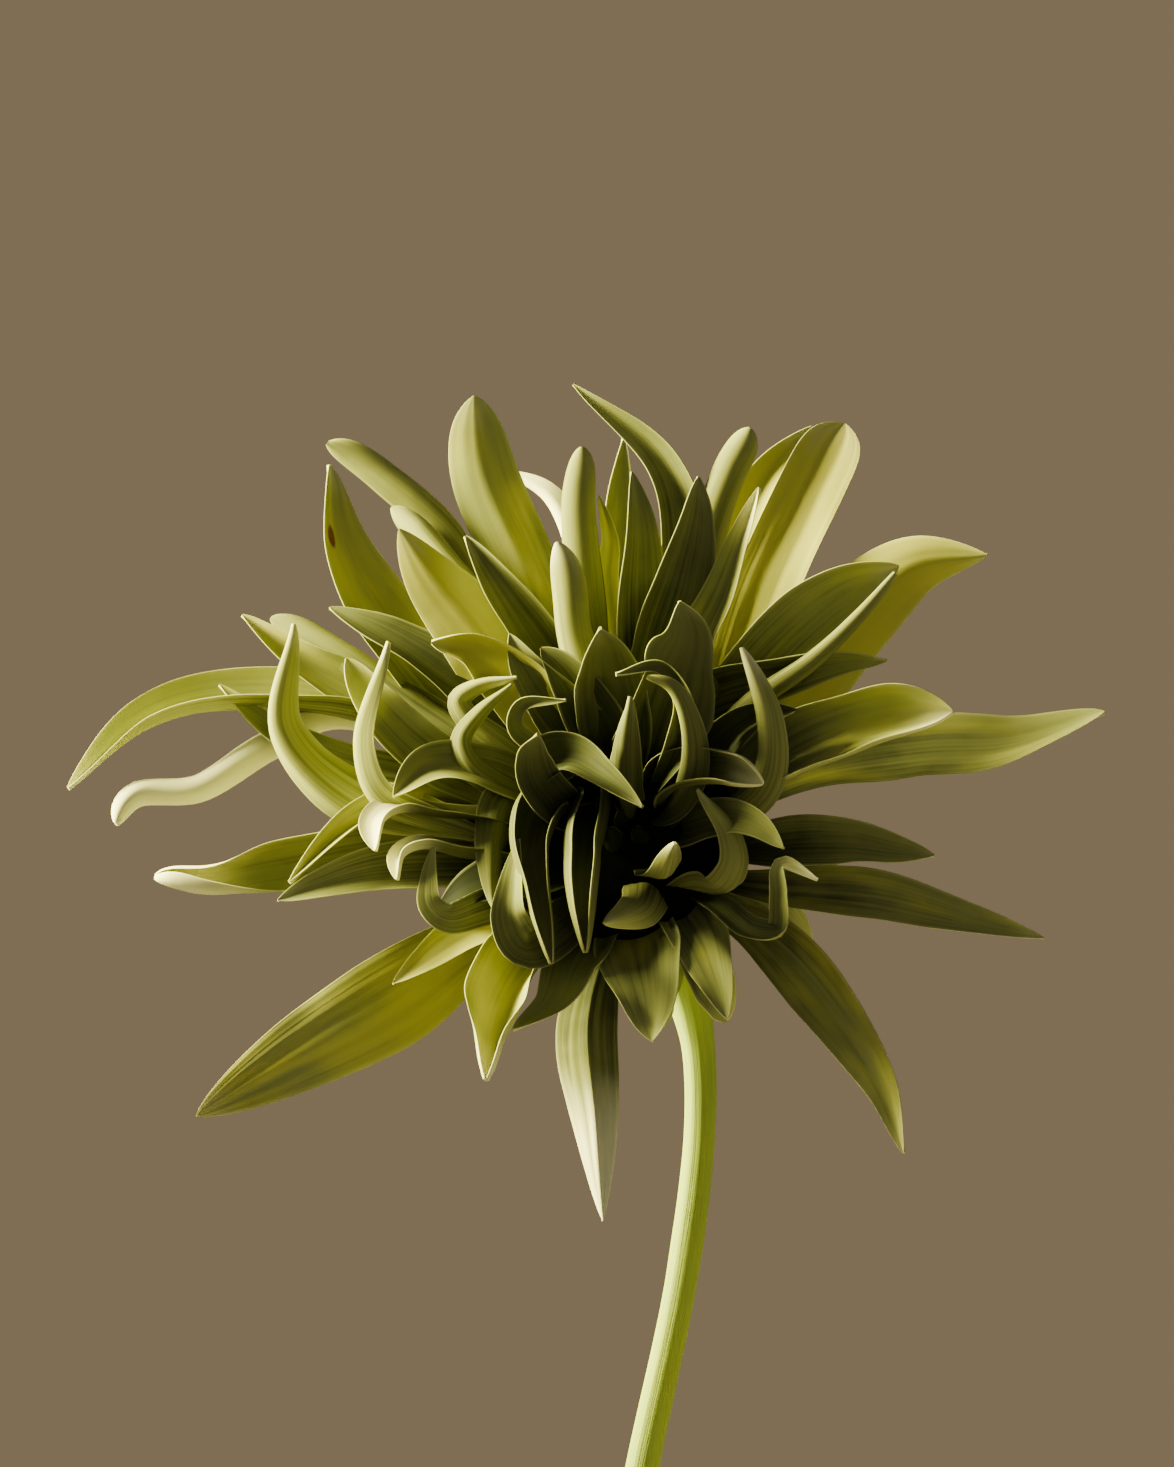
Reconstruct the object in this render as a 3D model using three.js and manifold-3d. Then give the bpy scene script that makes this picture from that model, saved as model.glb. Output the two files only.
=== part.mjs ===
// A single cactus dahlia in a plain stoneware bud vase.
// Units are millimetres. +Z is up, +X is right and -Y is the front, where the bloom looks.
// The origin is the middle of the vase's flat foot.
import * as THREE from "three";
import { mergeVertices } from "three/addons/utils/BufferGeometryUtils.js";
import Module from "manifold-3d";

const wasm = await Module();
wasm.setup();

// Clearance between two pieces that touch, and how far a joined mesh may be smoothed.
const seatGap = 0.3;
const meshTolerance = 0.03;

// Vase: the outline of its outside as radius and height, and its wall.
const vaseOutline = [[31, 0], [39, 30], [40.5, 60], [31, 98], [16.4, 126], [11.6, 146], [13.1, 165]];
const vase = { wall: 3, floor: 5, footBevel: 1.2, sides: 32, steps: 12, rimSteps: 4 };
const waterLevel = 104;

// Stem: its middle line from the cut end to the bowl under the bloom, each point with its radius.
const stemLine = [
  [-24.6, 0, 5.9, 2.7],
  [-9.4, 0, 80, 2.5],
  [7.3, 0, 163, 2.35],
  [13.8, 0, 195, 2.3],
  [19, 0.4, 220, 2.2],
  [21.4, 0.6, 240, 2.15],
  [21.1, 0.2, 252, 2.3],
  [18.9, -0.8, 261.5, 3.4],
  [16.2, -3.6, 268, 4.4],
  [14, -7.6, 271.4, 5],
];
const stemSides = 12;
const stemSteps = [2, 3, 4, 4, 4, 3, 3, 3, 3, 2, 1, 1, 1];

// The water's hole for the stem starts this many clearances below its cut end.
const footCut = 10;

// Bloom: the heart is the middle of the receptacle's top, and the bloom looks left and up from it.
const heart = new THREE.Vector3(11, -22, 276.6);
const faceUp = THREE.MathUtils.degToRad(20);
const faceLeft = THREE.MathUtils.degToRad(6);
const axis = new THREE.Vector3(
  -Math.sin(faceLeft) * Math.cos(faceUp),
  -Math.cos(faceLeft) * Math.cos(faceUp),
  Math.sin(faceUp),
);
const across = new THREE.Vector3(Math.cos(faceLeft), -Math.sin(faceLeft), 0);
const upward = new THREE.Vector3().crossVectors(axis, across);

// Bowl of the stem: height over the heart along the axis, and radius.
const bowl = [[-8.5, 5.6], [-5.2, 7.8], [-2.6, 8.7], [-1, 8.8]];

// Core of the bloom: the receptacle with the crowded feet of the florets, as radius and height.
const core = [[0, -0.7], [8.8, -0.7], [14, 4], [16.5, 9.5], [15, 15.5], [10, 18.5], [0, 19.5]];
const coreSides = 18;

// Bracts on the bowl, in two rings: leafy ones that bend back, and thin ones under the florets.
const leafyBracts = {
  count: 5,
  length: 13,
  width: 5.6,
  root: 6.6,
  height: -5,
  lift: -30,
  bend: -75,
  fold: 8,
  roll: 12,
};
const thinBracts = {
  count: 8,
  length: 11,
  width: 7,
  root: 7.6,
  height: -3,
  lift: -14,
  bend: -34,
  fold: 5,
  roll: 10,
};

// Blades: how thick, and where along their spine they have a ring of points.
const bladeThickness = { middle: 0.8, margin: 0.6 };
const bladeTipHalf = 0.35;
const stations = {
  many: [0, 0.3, 0.5, 0.7, 0.88, 1],
  some: [0, 0.38, 0.64, 0.86, 1],
  few: [0, 0.44, 0.8, 1],
};
const spineSteps = 50;

// Each whorl: the radius and height at which its florets are rooted, how high their middles and tips
// stand over the heart, how much higher the tips stand for each millimetre up in the front view,
// the height on the bloom's axis that their inner faces look at, how steeply each half is folded
// up and how much further its margin rolls in, both less than 0 where the blade is a ridge instead
// of a trough, and how blunt their tips are.
// Each floret: the line of its midrib in the front view, right and up of the heart, up to the tip,
// its width laid flat, and where it differs from its whorl. `turn` turns the blade about its own
// length and `hook` bends its end inwards.
const whorls = {
  outer: {
    root: [7, 1.6],
    heights: [7, 10],
    lean: 0.04,
    focus: 80,
    fold: 30,
    roll: 8,
    blunt: 2.6,
    stations: stations.many,
    florets: [
      {
        line: [[-30, 18], [-54, 21.5], [-65, 19], [-75.5, 10.5]],
        width: 15,
        fold: 42,
        roll: 10,
        turn: 60,
      },
      {
        line: [[-38, 20], [-48, 15.5], [-57, 10.3], [-65.5, 9.2], [-69, 5.6]],
        width: 9.5,
        fold: 5,
        roll: 120,
        turn: 160,
        blunt: 30,
      },
      {
        line: [[-30, 2], [-47, -1], [-57, -2.5], [-63.5, -1.5]],
        width: 9.5,
        fold: 10,
        roll: 60,
        blunt: 20,
      },
      {
        line: [[-20, -10.5], [-32, -18.5], [-45, -26], [-57.5, -33.5]],
        width: 14.5,
        fold: -3,
        roll: -6,
        turn: -10,
        blunt: 3.2,
      },
      {
        line: [[-3, -12], [-5, -21], [-4, -34], [-3, -47]],
        width: 14,
        fold: -16,
        roll: -20,
        blunt: 1.35,
      },
      { line: [[19, -9.5], [28, -19.5], [34.5, -29.5], [37, -38]], width: 11, fold: 15, blunt: 2.2 },
      { line: [[20, -3], [34, -4], [44, -6.5], [56, -9.5]], width: 9, fold: 12, blunt: 2.2 },
      { line: [[18, 2.5], [30, 3], [37, 2], [41.5, 1.5]], width: 9, fold: 18, blunt: 3 },
      {
        line: [[24, 12.5], [40, 15.5], [52, 16.5], [64.5, 20.8]],
        width: 12,
        fold: 12,
        turn: -28,
        blunt: 5,
      },
      { line: [[22, 24], [31, 34], [39, 40.3], [49, 42]], width: 17, fold: -12, roll: -20, blunt: 3 },
      {
        line: [[14, 24], [19.5, 38], [25, 50], [30, 60]],
        width: 9.5,
        fold: 10,
        roll: 8,
        turn: 4,
        blunt: 30,
      },
      {
        line: [[9, 26], [15, 44], [20, 54], [25.8, 60]],
        width: 8,
        fold: 20,
        blunt: 4,
        heights: [1, -1],
      },
      {
        line: [[7, 28], [10.5, 45], [13.5, 53], [17.2, 59.3]],
        width: 12.5,
        fold: 3,
        roll: 120,
        turn: 170,
        blunt: 30,
      },
      { line: [[6, 28], [8, 44], [5, 55], [-7, 65.5]], width: 9.5, turn: 15, blunt: 2 },
      { line: [[0, 28], [-1, 46], [0, 58.5]], width: 9, fold: 35, turn: 10, heights: [1, -1] },
      {
        line: [[-5, 28], [-7, 42], [-10.5, 50], [-16, 54]],
        width: 8,
        fold: 50,
        turn: 150,
        blunt: 5,
        heights: [0, -6],
      },
      {
        line: [[-8, 26], [-14.5, 42], [-19, 53], [-20.5, 64]],
        width: 11.5,
        fold: -10,
        roll: -10,
        turn: 5,
        blunt: 20,
      },
      {
        line: [[-14, 24], [-24, 44], [-33, 52], [-40.5, 57.5]],
        width: 13,
        fold: 5,
        roll: 120,
        turn: 165,
        blunt: 30,
      },
      { line: [[-22, 20], [-34, 34.5], [-38.8, 44], [-40.2, 54.5]], width: 13, turn: 10, blunt: 3.5 },
      { line: [[-22, 16], [-36, 23.5], [-45, 28.5], [-52, 34]], width: 10.1, blunt: 3 },
      { line: [[-24, 10], [-38, 13.5], [-48, 18.5], [-55, 24.5]], width: 8, fold: 20 },
    ],
  },
  second: {
    root: [7, 4],
    heights: [15, 20],
    lean: 0.04,
    focus: 80,
    fold: 28,
    roll: 8,
    blunt: 2.6,
    stations: stations.some,
    florets: [
      { line: [[-20, 0], [-33, -0.5], [-41, -2.5], [-46.5, -4.5]], width: 9, fold: 12, blunt: 3 },
      { line: [[-16, 5], [-28, 8], [-36, 6], [-45, -2]], width: 8, fold: 40, turn: 30 },
      { line: [[-14, -5.5], [-22, -9], [-27, -12.5], [-31, -15.5]], width: 8, fold: 5 },
      {
        line: [[-8, -8], [-14, -14.5], [-17, -21.5], [-18, -30]],
        width: 14,
        fold: 30,
        roll: 40,
        hook: 25,
        blunt: 6,
      },
      { line: [[-3, -7], [-6.5, -13], [-9.5, -18.5], [-15, -21.5]], width: 11, fold: 18 },
      { line: [[1, -6], [2, -12], [3, -17.5], [3.5, -23]], width: 13.4, blunt: 3.5 },
      { line: [[5, -3], [10, -9], [12, -14.5], [13.5, -20]], width: 10.1, blunt: 3 },
      {
        line: [[14, 8], [25, 15], [35, 19], [43.8, 20.8]],
        width: 14,
        fold: 15,
        roll: 60,
        turn: -15,
        blunt: 9,
      },
      { line: [[9, 10], [14, 17], [18, 20], [23, 21]], width: 9 },
      { line: [[10, 22], [22, 26], [29, 27.5], [35, 27.5]], width: 9, fold: 15, turn: 25 },
      {
        line: [[12, 20], [22, 31.5], [29.5, 37.3], [36.8, 40.3]],
        width: 9.5,
        fold: 18,
        turn: 22,
        blunt: 8,
      },
      {
        line: [[14, 20], [25, 28], [31, 33.5], [36.3, 39.2]],
        width: 7.5,
        fold: 3,
        roll: 120,
        turn: 165,
        blunt: 3,
        heights: [18, 25],
      },
      { line: [[7, 24], [13, 36], [16, 45], [18, 51]], width: 9, fold: 30, turn: -15, blunt: 2.2 },
      { line: [[4, 26], [7.5, 38], [9.5, 47], [10, 52.5]], width: 12, fold: 20, turn: 30, blunt: 3 },
      { line: [[2, 26], [2, 38], [2, 46], [1, 53.2]], width: 10, fold: 22, turn: 30 },
      {
        line: [[-4, 26], [-6, 38], [-6.6, 48], [-5.7, 56.5]],
        width: 12.5,
        fold: 3,
        roll: 120,
        turn: 170,
        blunt: 30,
      },
      {
        line: [[-6, 20], [-12, 29.5], [-17, 37], [-21.5, 44.5]],
        width: 11,
        roll: 30,
        turn: 15,
        blunt: 3,
      },
      {
        line: [[-8, 18], [-18, 32], [-25.5, 41.5], [-31.5, 48.5]],
        width: 12,
        fold: 5,
        roll: 120,
        turn: 165,
        blunt: 30,
        heights: [14, 13],
      },
      {
        line: [[-10, 17], [-19, 30.5], [-26, 39], [-30.5, 45.5]],
        width: 13,
        fold: -14,
        roll: -12,
        turn: 5,
        blunt: 4,
      },
      {
        line: [[-12, 16], [-23, 25], [-32, 31], [-40, 35]],
        width: 14,
        fold: 12,
        turn: 45,
        heights: [15, 14],
      },
      {
        line: [[-14, 12], [-28, 20.5], [-38, 27.5], [-48, 33.5]],
        width: 11,
        fold: 5,
        roll: 120,
        turn: 150,
        blunt: 30,
        heights: [11, 8],
      },
      {
        line: [[-20, 3.5], [-36, 6.5], [-47, 18], [-44.5, 32.5]],
        width: 16,
        fold: 45,
        turn: 125,
        blunt: 2.2,
      },
      { line: [[-16, 9], [-27, 15], [-34, 22], [-37.5, 28]], width: 8, fold: 20, blunt: 7 },
      {
        line: [[-1, 26], [-2.5, 38], [-2, 44], [-3.5, 50]],
        width: 5.5,
        fold: 25,
        blunt: 3,
        heights: [13, 17],
      },
    ],
  },
  third: {
    root: [6, 8],
    heights: [20, 24],
    lean: 0.05,
    focus: 80,
    fold: 26,
    roll: 8,
    blunt: 2.6,
    stations: stations.some,
    florets: [
      {
        line: [[-20, 4], [-33.5, 8.5], [-36, 16.5], [-31.5, 30]],
        width: 9,
        fold: 45,
        turn: 80,
        blunt: 2.2,
      },
      {
        line: [[-18, 6.5], [-24.5, 7.3], [-30, 8], [-33, 6.3], [-33.5, 2.2]],
        width: 8,
        fold: 5,
        roll: 20,
        turn: 20,
        blunt: 7,
        stations: stations.many,
      },
      {
        line: [[-16, 1], [-22, 1.8], [-27, 2.8], [-30, 1.6], [-30.6, -1.6]],
        width: 5,
        fold: 15,
        roll: 30,
        blunt: 9,
        stations: stations.many,
      },
      {
        line: [[-19, -5.5], [-23.6, -6.8], [-26, -5], [-26.2, -1], [-25.5, 3.2]],
        width: 8,
        fold: 0,
        roll: 8,
        turn: 5,
        blunt: 2,
        focus: 10,
        stations: stations.many,
      },
      { line: [[-12, 10], [-20, 13], [-26, 13.5], [-31, 9.5]], width: 8, fold: 20, turn: 20, blunt: 5 },
      {
        line: [[-9, 17], [-15, 25], [-20.5, 29.5], [-26, 30]],
        width: 10,
        fold: 6,
        roll: 30,
        turn: -20,
        blunt: 5,
      },
      {
        line: [[-3, 18], [-7, 30], [-8, 37], [-9, 43.5]],
        width: 11,
        fold: 3,
        roll: 120,
        turn: 165,
        blunt: 12,
      },
      {
        line: [[-5, 16], [-10, 22], [-13.5, 27], [-15.5, 31.2]],
        width: 12,
        fold: 20,
        roll: 5,
        blunt: 2,
      },
      { line: [[-1, 18], [-2, 26], [-2.5, 30.5], [-3, 33.3]], width: 11, fold: 22, hook: 60, blunt: 7 },
      {
        line: [[4, 18], [6.5, 26], [8, 31], [7, 35.5]],
        width: 15,
        fold: 22,
        turn: 25,
        hook: 20,
        blunt: 3,
      },
      {
        line: [[10, 6], [17, 11.5], [18.2, 19], [15.8, 29.3]],
        width: 10.5,
        fold: 42,
        roll: 5,
        turn: 165,
        blunt: 2.2,
      },
      {
        line: [[7, 12.3], [11, 13], [15, 12.6], [18.3, 11.2]],
        width: 11,
        fold: 5,
        roll: 100,
        blunt: 7,
      },
      {
        line: [[8, -2.5], [13.2, -2.8], [15, 0.5], [14, 5], [9.5, 10.2]],
        width: 10,
        fold: 18,
        roll: 5,
        blunt: 1.7,
        focus: 10,
        stations: stations.many,
      },
      {
        line: [[13, -5.5], [17, -8.6], [20.6, -8.6], [20.9, -4], [20.9, 0.2], [25.5, -1.5]],
        width: 4.4,
        roll: 20,
        blunt: 5,
        stations: stations.many,
      },
      {
        line: [[3.2, -2.8], [2.4, -5], [0.3, -6.2], [-3, -7.4]],
        width: 8,
        fold: 10,
        roll: 25,
        turn: 150,
        blunt: 3.5,
        heights: [22, 27],
      },
      {
        line: [[-4.5, 7], [-5.7, 1], [-5.9, -4.5], [-5.3, -11.2]],
        width: 15.5,
        fold: 2,
        roll: 120,
        blunt: 1.7,
        heights: [24, 26],
      },
      {
        line: [[-7, 9], [-11, 8], [-13, 3], [-11.8, -4], [-9.8, -12.7]],
        width: 13,
        fold: 2,
        roll: 115,
        blunt: 1.9,
        heights: [24, 25],
        stations: stations.many,
      },
      {
        line: [[-10, 9], [-15.5, 9], [-17.4, 4], [-17.8, -1], [-17.8, -5.3]],
        width: 8,
        fold: 25,
        roll: 10,
        turn: 160,
        stations: stations.many,
      },
      {
        line: [[-14, 14], [-21, 19.5], [-22.4, 22.3], [-19.5, 24.4], [-14.5, 25.2]],
        width: 5.5,
        fold: 20,
        roll: 20,
        turn: 150,
        focus: 60,
        stations: stations.many,
      },
      {
        line: [[-12, 8], [-20.5, 13.5], [-21.8, 17], [-19.5, 20.5], [-15.2, 24.3]],
        width: 5.5,
        fold: 30,
        roll: 10,
        turn: 160,
        heights: [21, 25],
        focus: 60,
        stations: stations.many,
      },
      { line: [[-3, 17], [-5.5, 22], [-8.5, 26.5], [-11.3, 29.3]], width: 9, fold: 20, blunt: 4 },
      {
        line: [[-9, -8], [-13.3, -10.4], [-15.3, -7], [-15.1, -2], [-14.2, 3.8]],
        width: 9,
        fold: 10,
        roll: 12,
        blunt: 2,
        heights: [24, 28],
        focus: 10,
        stations: stations.many,
      },
      {
        line: [[-10, 0], [-16, -1.5], [-21, -3], [-25, -5.5]],
        width: 13,
        fold: 5,
        turn: 20,
        heights: [19, 18],
      },
      {
        line: [[8, 5], [14, 6.6], [17.5, 5.6], [21, 2.6]],
        width: 7,
        fold: 15,
        blunt: 3,
        heights: [21, 25],
      },
    ],
  },
  inner: {
    root: [4, 12],
    heights: [25, 31],
    lean: 0,
    focus: 15,
    fold: 35,
    roll: 20,
    blunt: 2.6,
    stations: stations.some,
    florets: [
      {
        line: [[6, 8], [8.2, 14], [7.8, 19.5], [6, 23.8], [3, 25.5]],
        width: 7.5,
        fold: 45,
        roll: 5,
        turn: 165,
        focus: 60,
        stations: stations.many,
      },
      { line: [[7, 16], [8, 22], [5, 26.6], [-1.2, 25.7]], width: 5, turn: 10, focus: 60 },
      {
        line: [[0, 8], [-0.4, 13], [0, 18], [0.8, 22.7]],
        width: 7.5,
        fold: 42,
        roll: 5,
        turn: 170,
        focus: 80,
      },
      {
        line: [[-10, 14], [-7, 14.5], [-3, 12.3], [2.2, 8.2]],
        width: 11,
        fold: 22,
        roll: 25,
        blunt: 1.4,
        focus: 80,
      },
      {
        line: [[-9, 14], [-14.8, 18.5], [-14, 21.5], [-8, 22.2]],
        width: 4,
        fold: 20,
        roll: 20,
        focus: 60,
      },
      {
        line: [[-9, 8], [-12, 12], [-13, 16], [-12.8, 19.5]],
        width: 7,
        fold: 18,
        roll: 20,
        hook: 60,
        blunt: 8,
        focus: 60,
      },
      {
        line: [[5.4, -0.8], [6, 1.2], [6.5, 3.5]],
        width: 5.8,
        fold: 25,
        roll: 8,
        blunt: 6,
        heights: [26, 33],
        focus: 10,
      },
    ],
  },
};

// Florets that the front view hides: the last whorl, bent back over the bowl, and the tight heart.
const backWhorl = { count: 11, root: 7.2, level: 0.4, reach: 33, drop: -20, width: 9, seed: 7 };
const heartWhorl = { count: 7, root: 16, spread: 8, height: 23, width: 5.5, seed: 3 };

const smooth = (value) => THREE.MathUtils.smoothstep(value, 0, 1);

// Numbers from 0 to 1 that come out alike each time.
function seeded(seed) {
  let state = seed;
  return () => {
    state = (state * 16807) % 2147483647;
    return state / 2147483647;
  };
}

// A place in the bloom's own frame: right and up of its axis, and height over the heart.
function bloomPoint(right, up, height) {
  return heart
    .clone()
    .addScaledVector(across, right)
    .addScaledVector(upward, up)
    .addScaledVector(axis, height);
}

// The place at one height that the front view shows so far right and up of the heart.
function seenAt([right, up], height) {
  const b = (up - height * axis.z) / upward.z;
  const a = (right - b * upward.x - height * axis.x) / across.x;
  return bloomPoint(a, b, height);
}

// A floret's spine: places along its line with the direction, the side and the inner face's normal.
function floretSpine({ points, focus, hook = 0, turn = 0 }) {
  const curve = new THREE.CatmullRomCurve3(points, false, "centripetal");
  const target = bloomPoint(0, 0, focus);
  const spine = [];
  let place = points[0];
  let before = points[0];
  for (let step = 0; step <= spineSteps; step++) {
    const u = step / spineSteps;
    const point = curve.getPointAt(u);
    const direction = curve.getTangentAt(u);
    const normal = target.clone().sub(point).projectOnPlane(direction).normalize();
    const side = new THREE.Vector3().crossVectors(direction, normal);
    const twist = THREE.MathUtils.degToRad(turn) * smooth(u / 0.5);
    side.applyAxisAngle(direction, twist);
    normal.applyAxisAngle(direction, twist);
    const bend = THREE.MathUtils.degToRad(hook) * smooth((u - 0.6) / 0.4);
    direction.applyAxisAngle(side, bend);
    normal.applyAxisAngle(side, bend);
    place = place.clone().addScaledVector(direction, point.distanceTo(before));
    before = point;
    spine.push({ place, direction, side, normal });
  }
  return spine;
}

// A closed skin over rings of points, all alike in number, with a fan over each end. Quads from
// the ring's point number `turned` on are split the other way, as on a blade's outer face.
function skin(rings, turned = Infinity) {
  const size = rings[0].length;
  const faces = [];
  for (let ring = 0; ring + 1 < rings.length; ring++) {
    for (let i = 0; i < size; i++) {
      const a = ring * size + i;
      const b = ring * size + ((i + 1) % size);
      const straight = [a, b, b + size, a, b + size, a + size];
      const crossed = [a, b, a + size, b, b + size, a + size];
      faces.push(...(i < turned ? straight : crossed));
    }
  }
  const last = (rings.length - 1) * size;
  for (let i = 1; i + 1 < size; i++) {
    faces.push(0, i + 1, i);
    faces.push(last, last + i, last + i + 1);
  }
  const geometry = new THREE.BufferGeometry().setFromPoints(rings.flat());
  geometry.setIndex(faces);
  return solidOf(geometry);
}

function solidOf(geometry) {
  const bare = geometry.clone();
  bare.deleteAttribute("normal");
  bare.deleteAttribute("uv");
  const merged = mergeVertices(bare, 1e-4);
  const corners = merged.index.array;
  const faces = [];
  for (let i = 0; i < corners.length; i += 3) {
    const [a, b, c] = corners.slice(i, i + 3);
    if (a !== b && b !== c && c !== a) {
      faces.push(a, b, c);
    }
  }
  const vertProperties = merged.attributes.position.array;
  const triVerts = new Uint32Array(faces);
  return new wasm.Manifold(new wasm.Mesh({ numProp: 3, vertProperties, triVerts }));
}

// A blade folded along its spine: three points on its inner face and three on its outer one. Each
// half rises from the midrib by `fold` and curls in by `roll` more up to its margin.
// `grow` widens and thickens it on every side.
function bladeSolid(spine, rows, halfWidthAt, fold, roll, grow = 0) {
  const lean = fold + roll / 2;
  const reach = Math.sin(roll / 2) / (roll / 2);
  const rings = rows.map((u) => {
    const { place, side, normal } = spine[Math.round(u * spineSteps)];
    const half = (Math.max(halfWidthAt(u), bladeTipHalf) + grow) * reach;
    const inner = place.clone().addScaledVector(normal, grow);
    const margin = (way) =>
      inner
        .clone()
        .addScaledVector(side, way * half * Math.cos(lean))
        .addScaledVector(normal, half * Math.sin(lean));
    const under = (point, way) =>
      point
        .clone()
        .addScaledVector(side, way * (bladeThickness.margin + 2 * grow) * Math.sin(lean))
        .addScaledVector(normal, -(bladeThickness.margin + 2 * grow) * Math.cos(lean));
    const depth = (bladeThickness.middle + 2 * grow) / Math.cos(lean);
    const keel = inner.clone().addScaledVector(normal, -depth);
    return [margin(-1), inner, margin(1), under(margin(1), 1), keel, under(margin(-1), -1)];
  });
  return skin(rings, 3);
}

function floretSolid(floret) {
  const swell = (u) => 0.2 + 0.8 * smooth(u / 0.56);
  const taper = (u) => (1 - u ** floret.blunt) ** 0.75;
  return bladeSolid(
    floretSpine(floret),
    floret.stations,
    (u) => (floret.width / 2) * swell(u) * taper(u),
    THREE.MathUtils.degToRad(floret.fold),
    THREE.MathUtils.degToRad(floret.roll),
  );
}

// The florets of a whorl, each with the points of its line at their heights. The first point is
// its root on the receptacle.
function whorlFlorets({ root, heights, lean, florets, ...shared }) {
  const [rootRadius, rootHeight] = root;
  return florets.map((floret) => {
    const seen = [[0, 0], ...floret.line].map(([right, up]) => new THREE.Vector2(right, up));
    const tip = seen[seen.length - 1];
    const [middleHeight, tipHeight] = floret.heights ?? [heights[0], heights[1] + lean * tip.y];
    const bulge = 2 * middleHeight - (rootHeight + tipHeight) / 2;
    let run = 0;
    const runs = seen.map((point, i) => (run += i ? point.distanceTo(seen[i - 1]) : 0));
    const points = floret.line.map((place, i) => {
      const f = runs[i + 1] / run;
      return seenAt(place, (1 - f) ** 2 * rootHeight + 2 * f * (1 - f) * bulge + f ** 2 * tipHeight);
    });
    const outward = points[0].clone().sub(heart);
    outward.projectOnPlane(axis).setLength(rootRadius);
    points.unshift(bloomPoint(0, 0, rootHeight).add(outward));
    return { ...shared, ...floret, points };
  });
}

// The last whorl lies over the bowl, longer at the top than at the bottom.
function backFlorets() {
  const draw = seeded(backWhorl.seed);
  const florets = [];
  for (let i = 0; i < backWhorl.count; i++) {
    const angle = (2 * Math.PI * (i + 0.5 + 0.4 * (draw() - 0.5))) / backWhorl.count;
    const reach = backWhorl.reach * (0.78 + 0.22 * Math.sin(angle)) * (0.94 + 0.12 * draw());
    const drop = backWhorl.drop * (0.8 + 0.3 * draw());
    const at = (radius, height) => bloomPoint(radius * Math.cos(angle), radius * Math.sin(angle), height);
    florets.push({
      points: [
        at(backWhorl.root, backWhorl.level),
        at(0.5 * reach, backWhorl.level),
        at(0.8 * reach, 0.35 * drop),
        at(reach, drop),
      ],
      width: backWhorl.width * (0.9 + 0.2 * draw()),
      focus: 80,
      fold: 20,
      roll: 25,
      blunt: 2.6,
      stations: stations.few,
    });
  }
  return florets;
}

// The heart's small florets stand close together and lean inwards.
function heartFlorets() {
  const draw = seeded(heartWhorl.seed);
  const golden = Math.PI * (3 - Math.sqrt(5));
  const florets = [];
  for (let i = 0; i < heartWhorl.count; i++) {
    const angle = i * golden;
    const spread = heartWhorl.spread * Math.sqrt((i + 0.5) / heartWhorl.count);
    const height = heartWhorl.height - 0.3 * spread + 2 * draw();
    const at = (radius, level) => bloomPoint(radius * Math.cos(angle), radius * Math.sin(angle), level);
    florets.push({
      points: [at(0.5 * spread, heartWhorl.root), at(spread, 0.75 * height), at(0.55 * spread, height)],
      width: heartWhorl.width * (0.85 + 0.3 * draw()),
      focus: 15,
      fold: 35,
      roll: 20,
      blunt: 2.6,
      stations: stations.few,
    });
  }
  return florets;
}

// The core, lathed about the bloom's axis.
function coreSolid() {
  const profile = core.map(([radius, height]) => new THREE.Vector2(radius, height));
  const lathe = new THREE.LatheGeometry(profile, coreSides);
  lathe.applyMatrix4(new THREE.Matrix4().makeBasis(upward, axis, across));
  lathe.translate(heart.x, heart.y, heart.z);
  return solidOf(lathe);
}

function bractSolid(bracts, index, grow) {
  const angle = (2 * Math.PI * (index + 0.5)) / bracts.count;
  const outward = across.clone().multiplyScalar(Math.cos(angle)).addScaledVector(upward, Math.sin(angle));
  const side = new THREE.Vector3().crossVectors(outward, axis);
  const spine = [];
  const place = bloomPoint(0, 0, bracts.height).addScaledVector(outward, bracts.root);
  for (let step = 0; step <= spineSteps; step++) {
    const u = step / spineSteps;
    const rise = THREE.MathUtils.degToRad(bracts.lift + (bracts.bend - bracts.lift) * u);
    const [along, high] = [Math.cos(rise), Math.sin(rise)];
    const direction = outward.clone().multiplyScalar(along).addScaledVector(axis, high);
    const normal = axis.clone().multiplyScalar(along).addScaledVector(outward, -high);
    spine.push({ place: place.clone(), direction, side, normal });
    place.addScaledVector(direction, (bracts.length + grow) / spineSteps);
  }
  return bladeSolid(
    spine,
    stations.few,
    (u) => (bracts.width / 2) * (0.7 + 0.3 * smooth(u / 0.4)) * (1 - u ** 3) ** 0.75,
    THREE.MathUtils.degToRad(bracts.fold),
    THREE.MathUtils.degToRad(bracts.roll),
    grow,
  );
}

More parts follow.
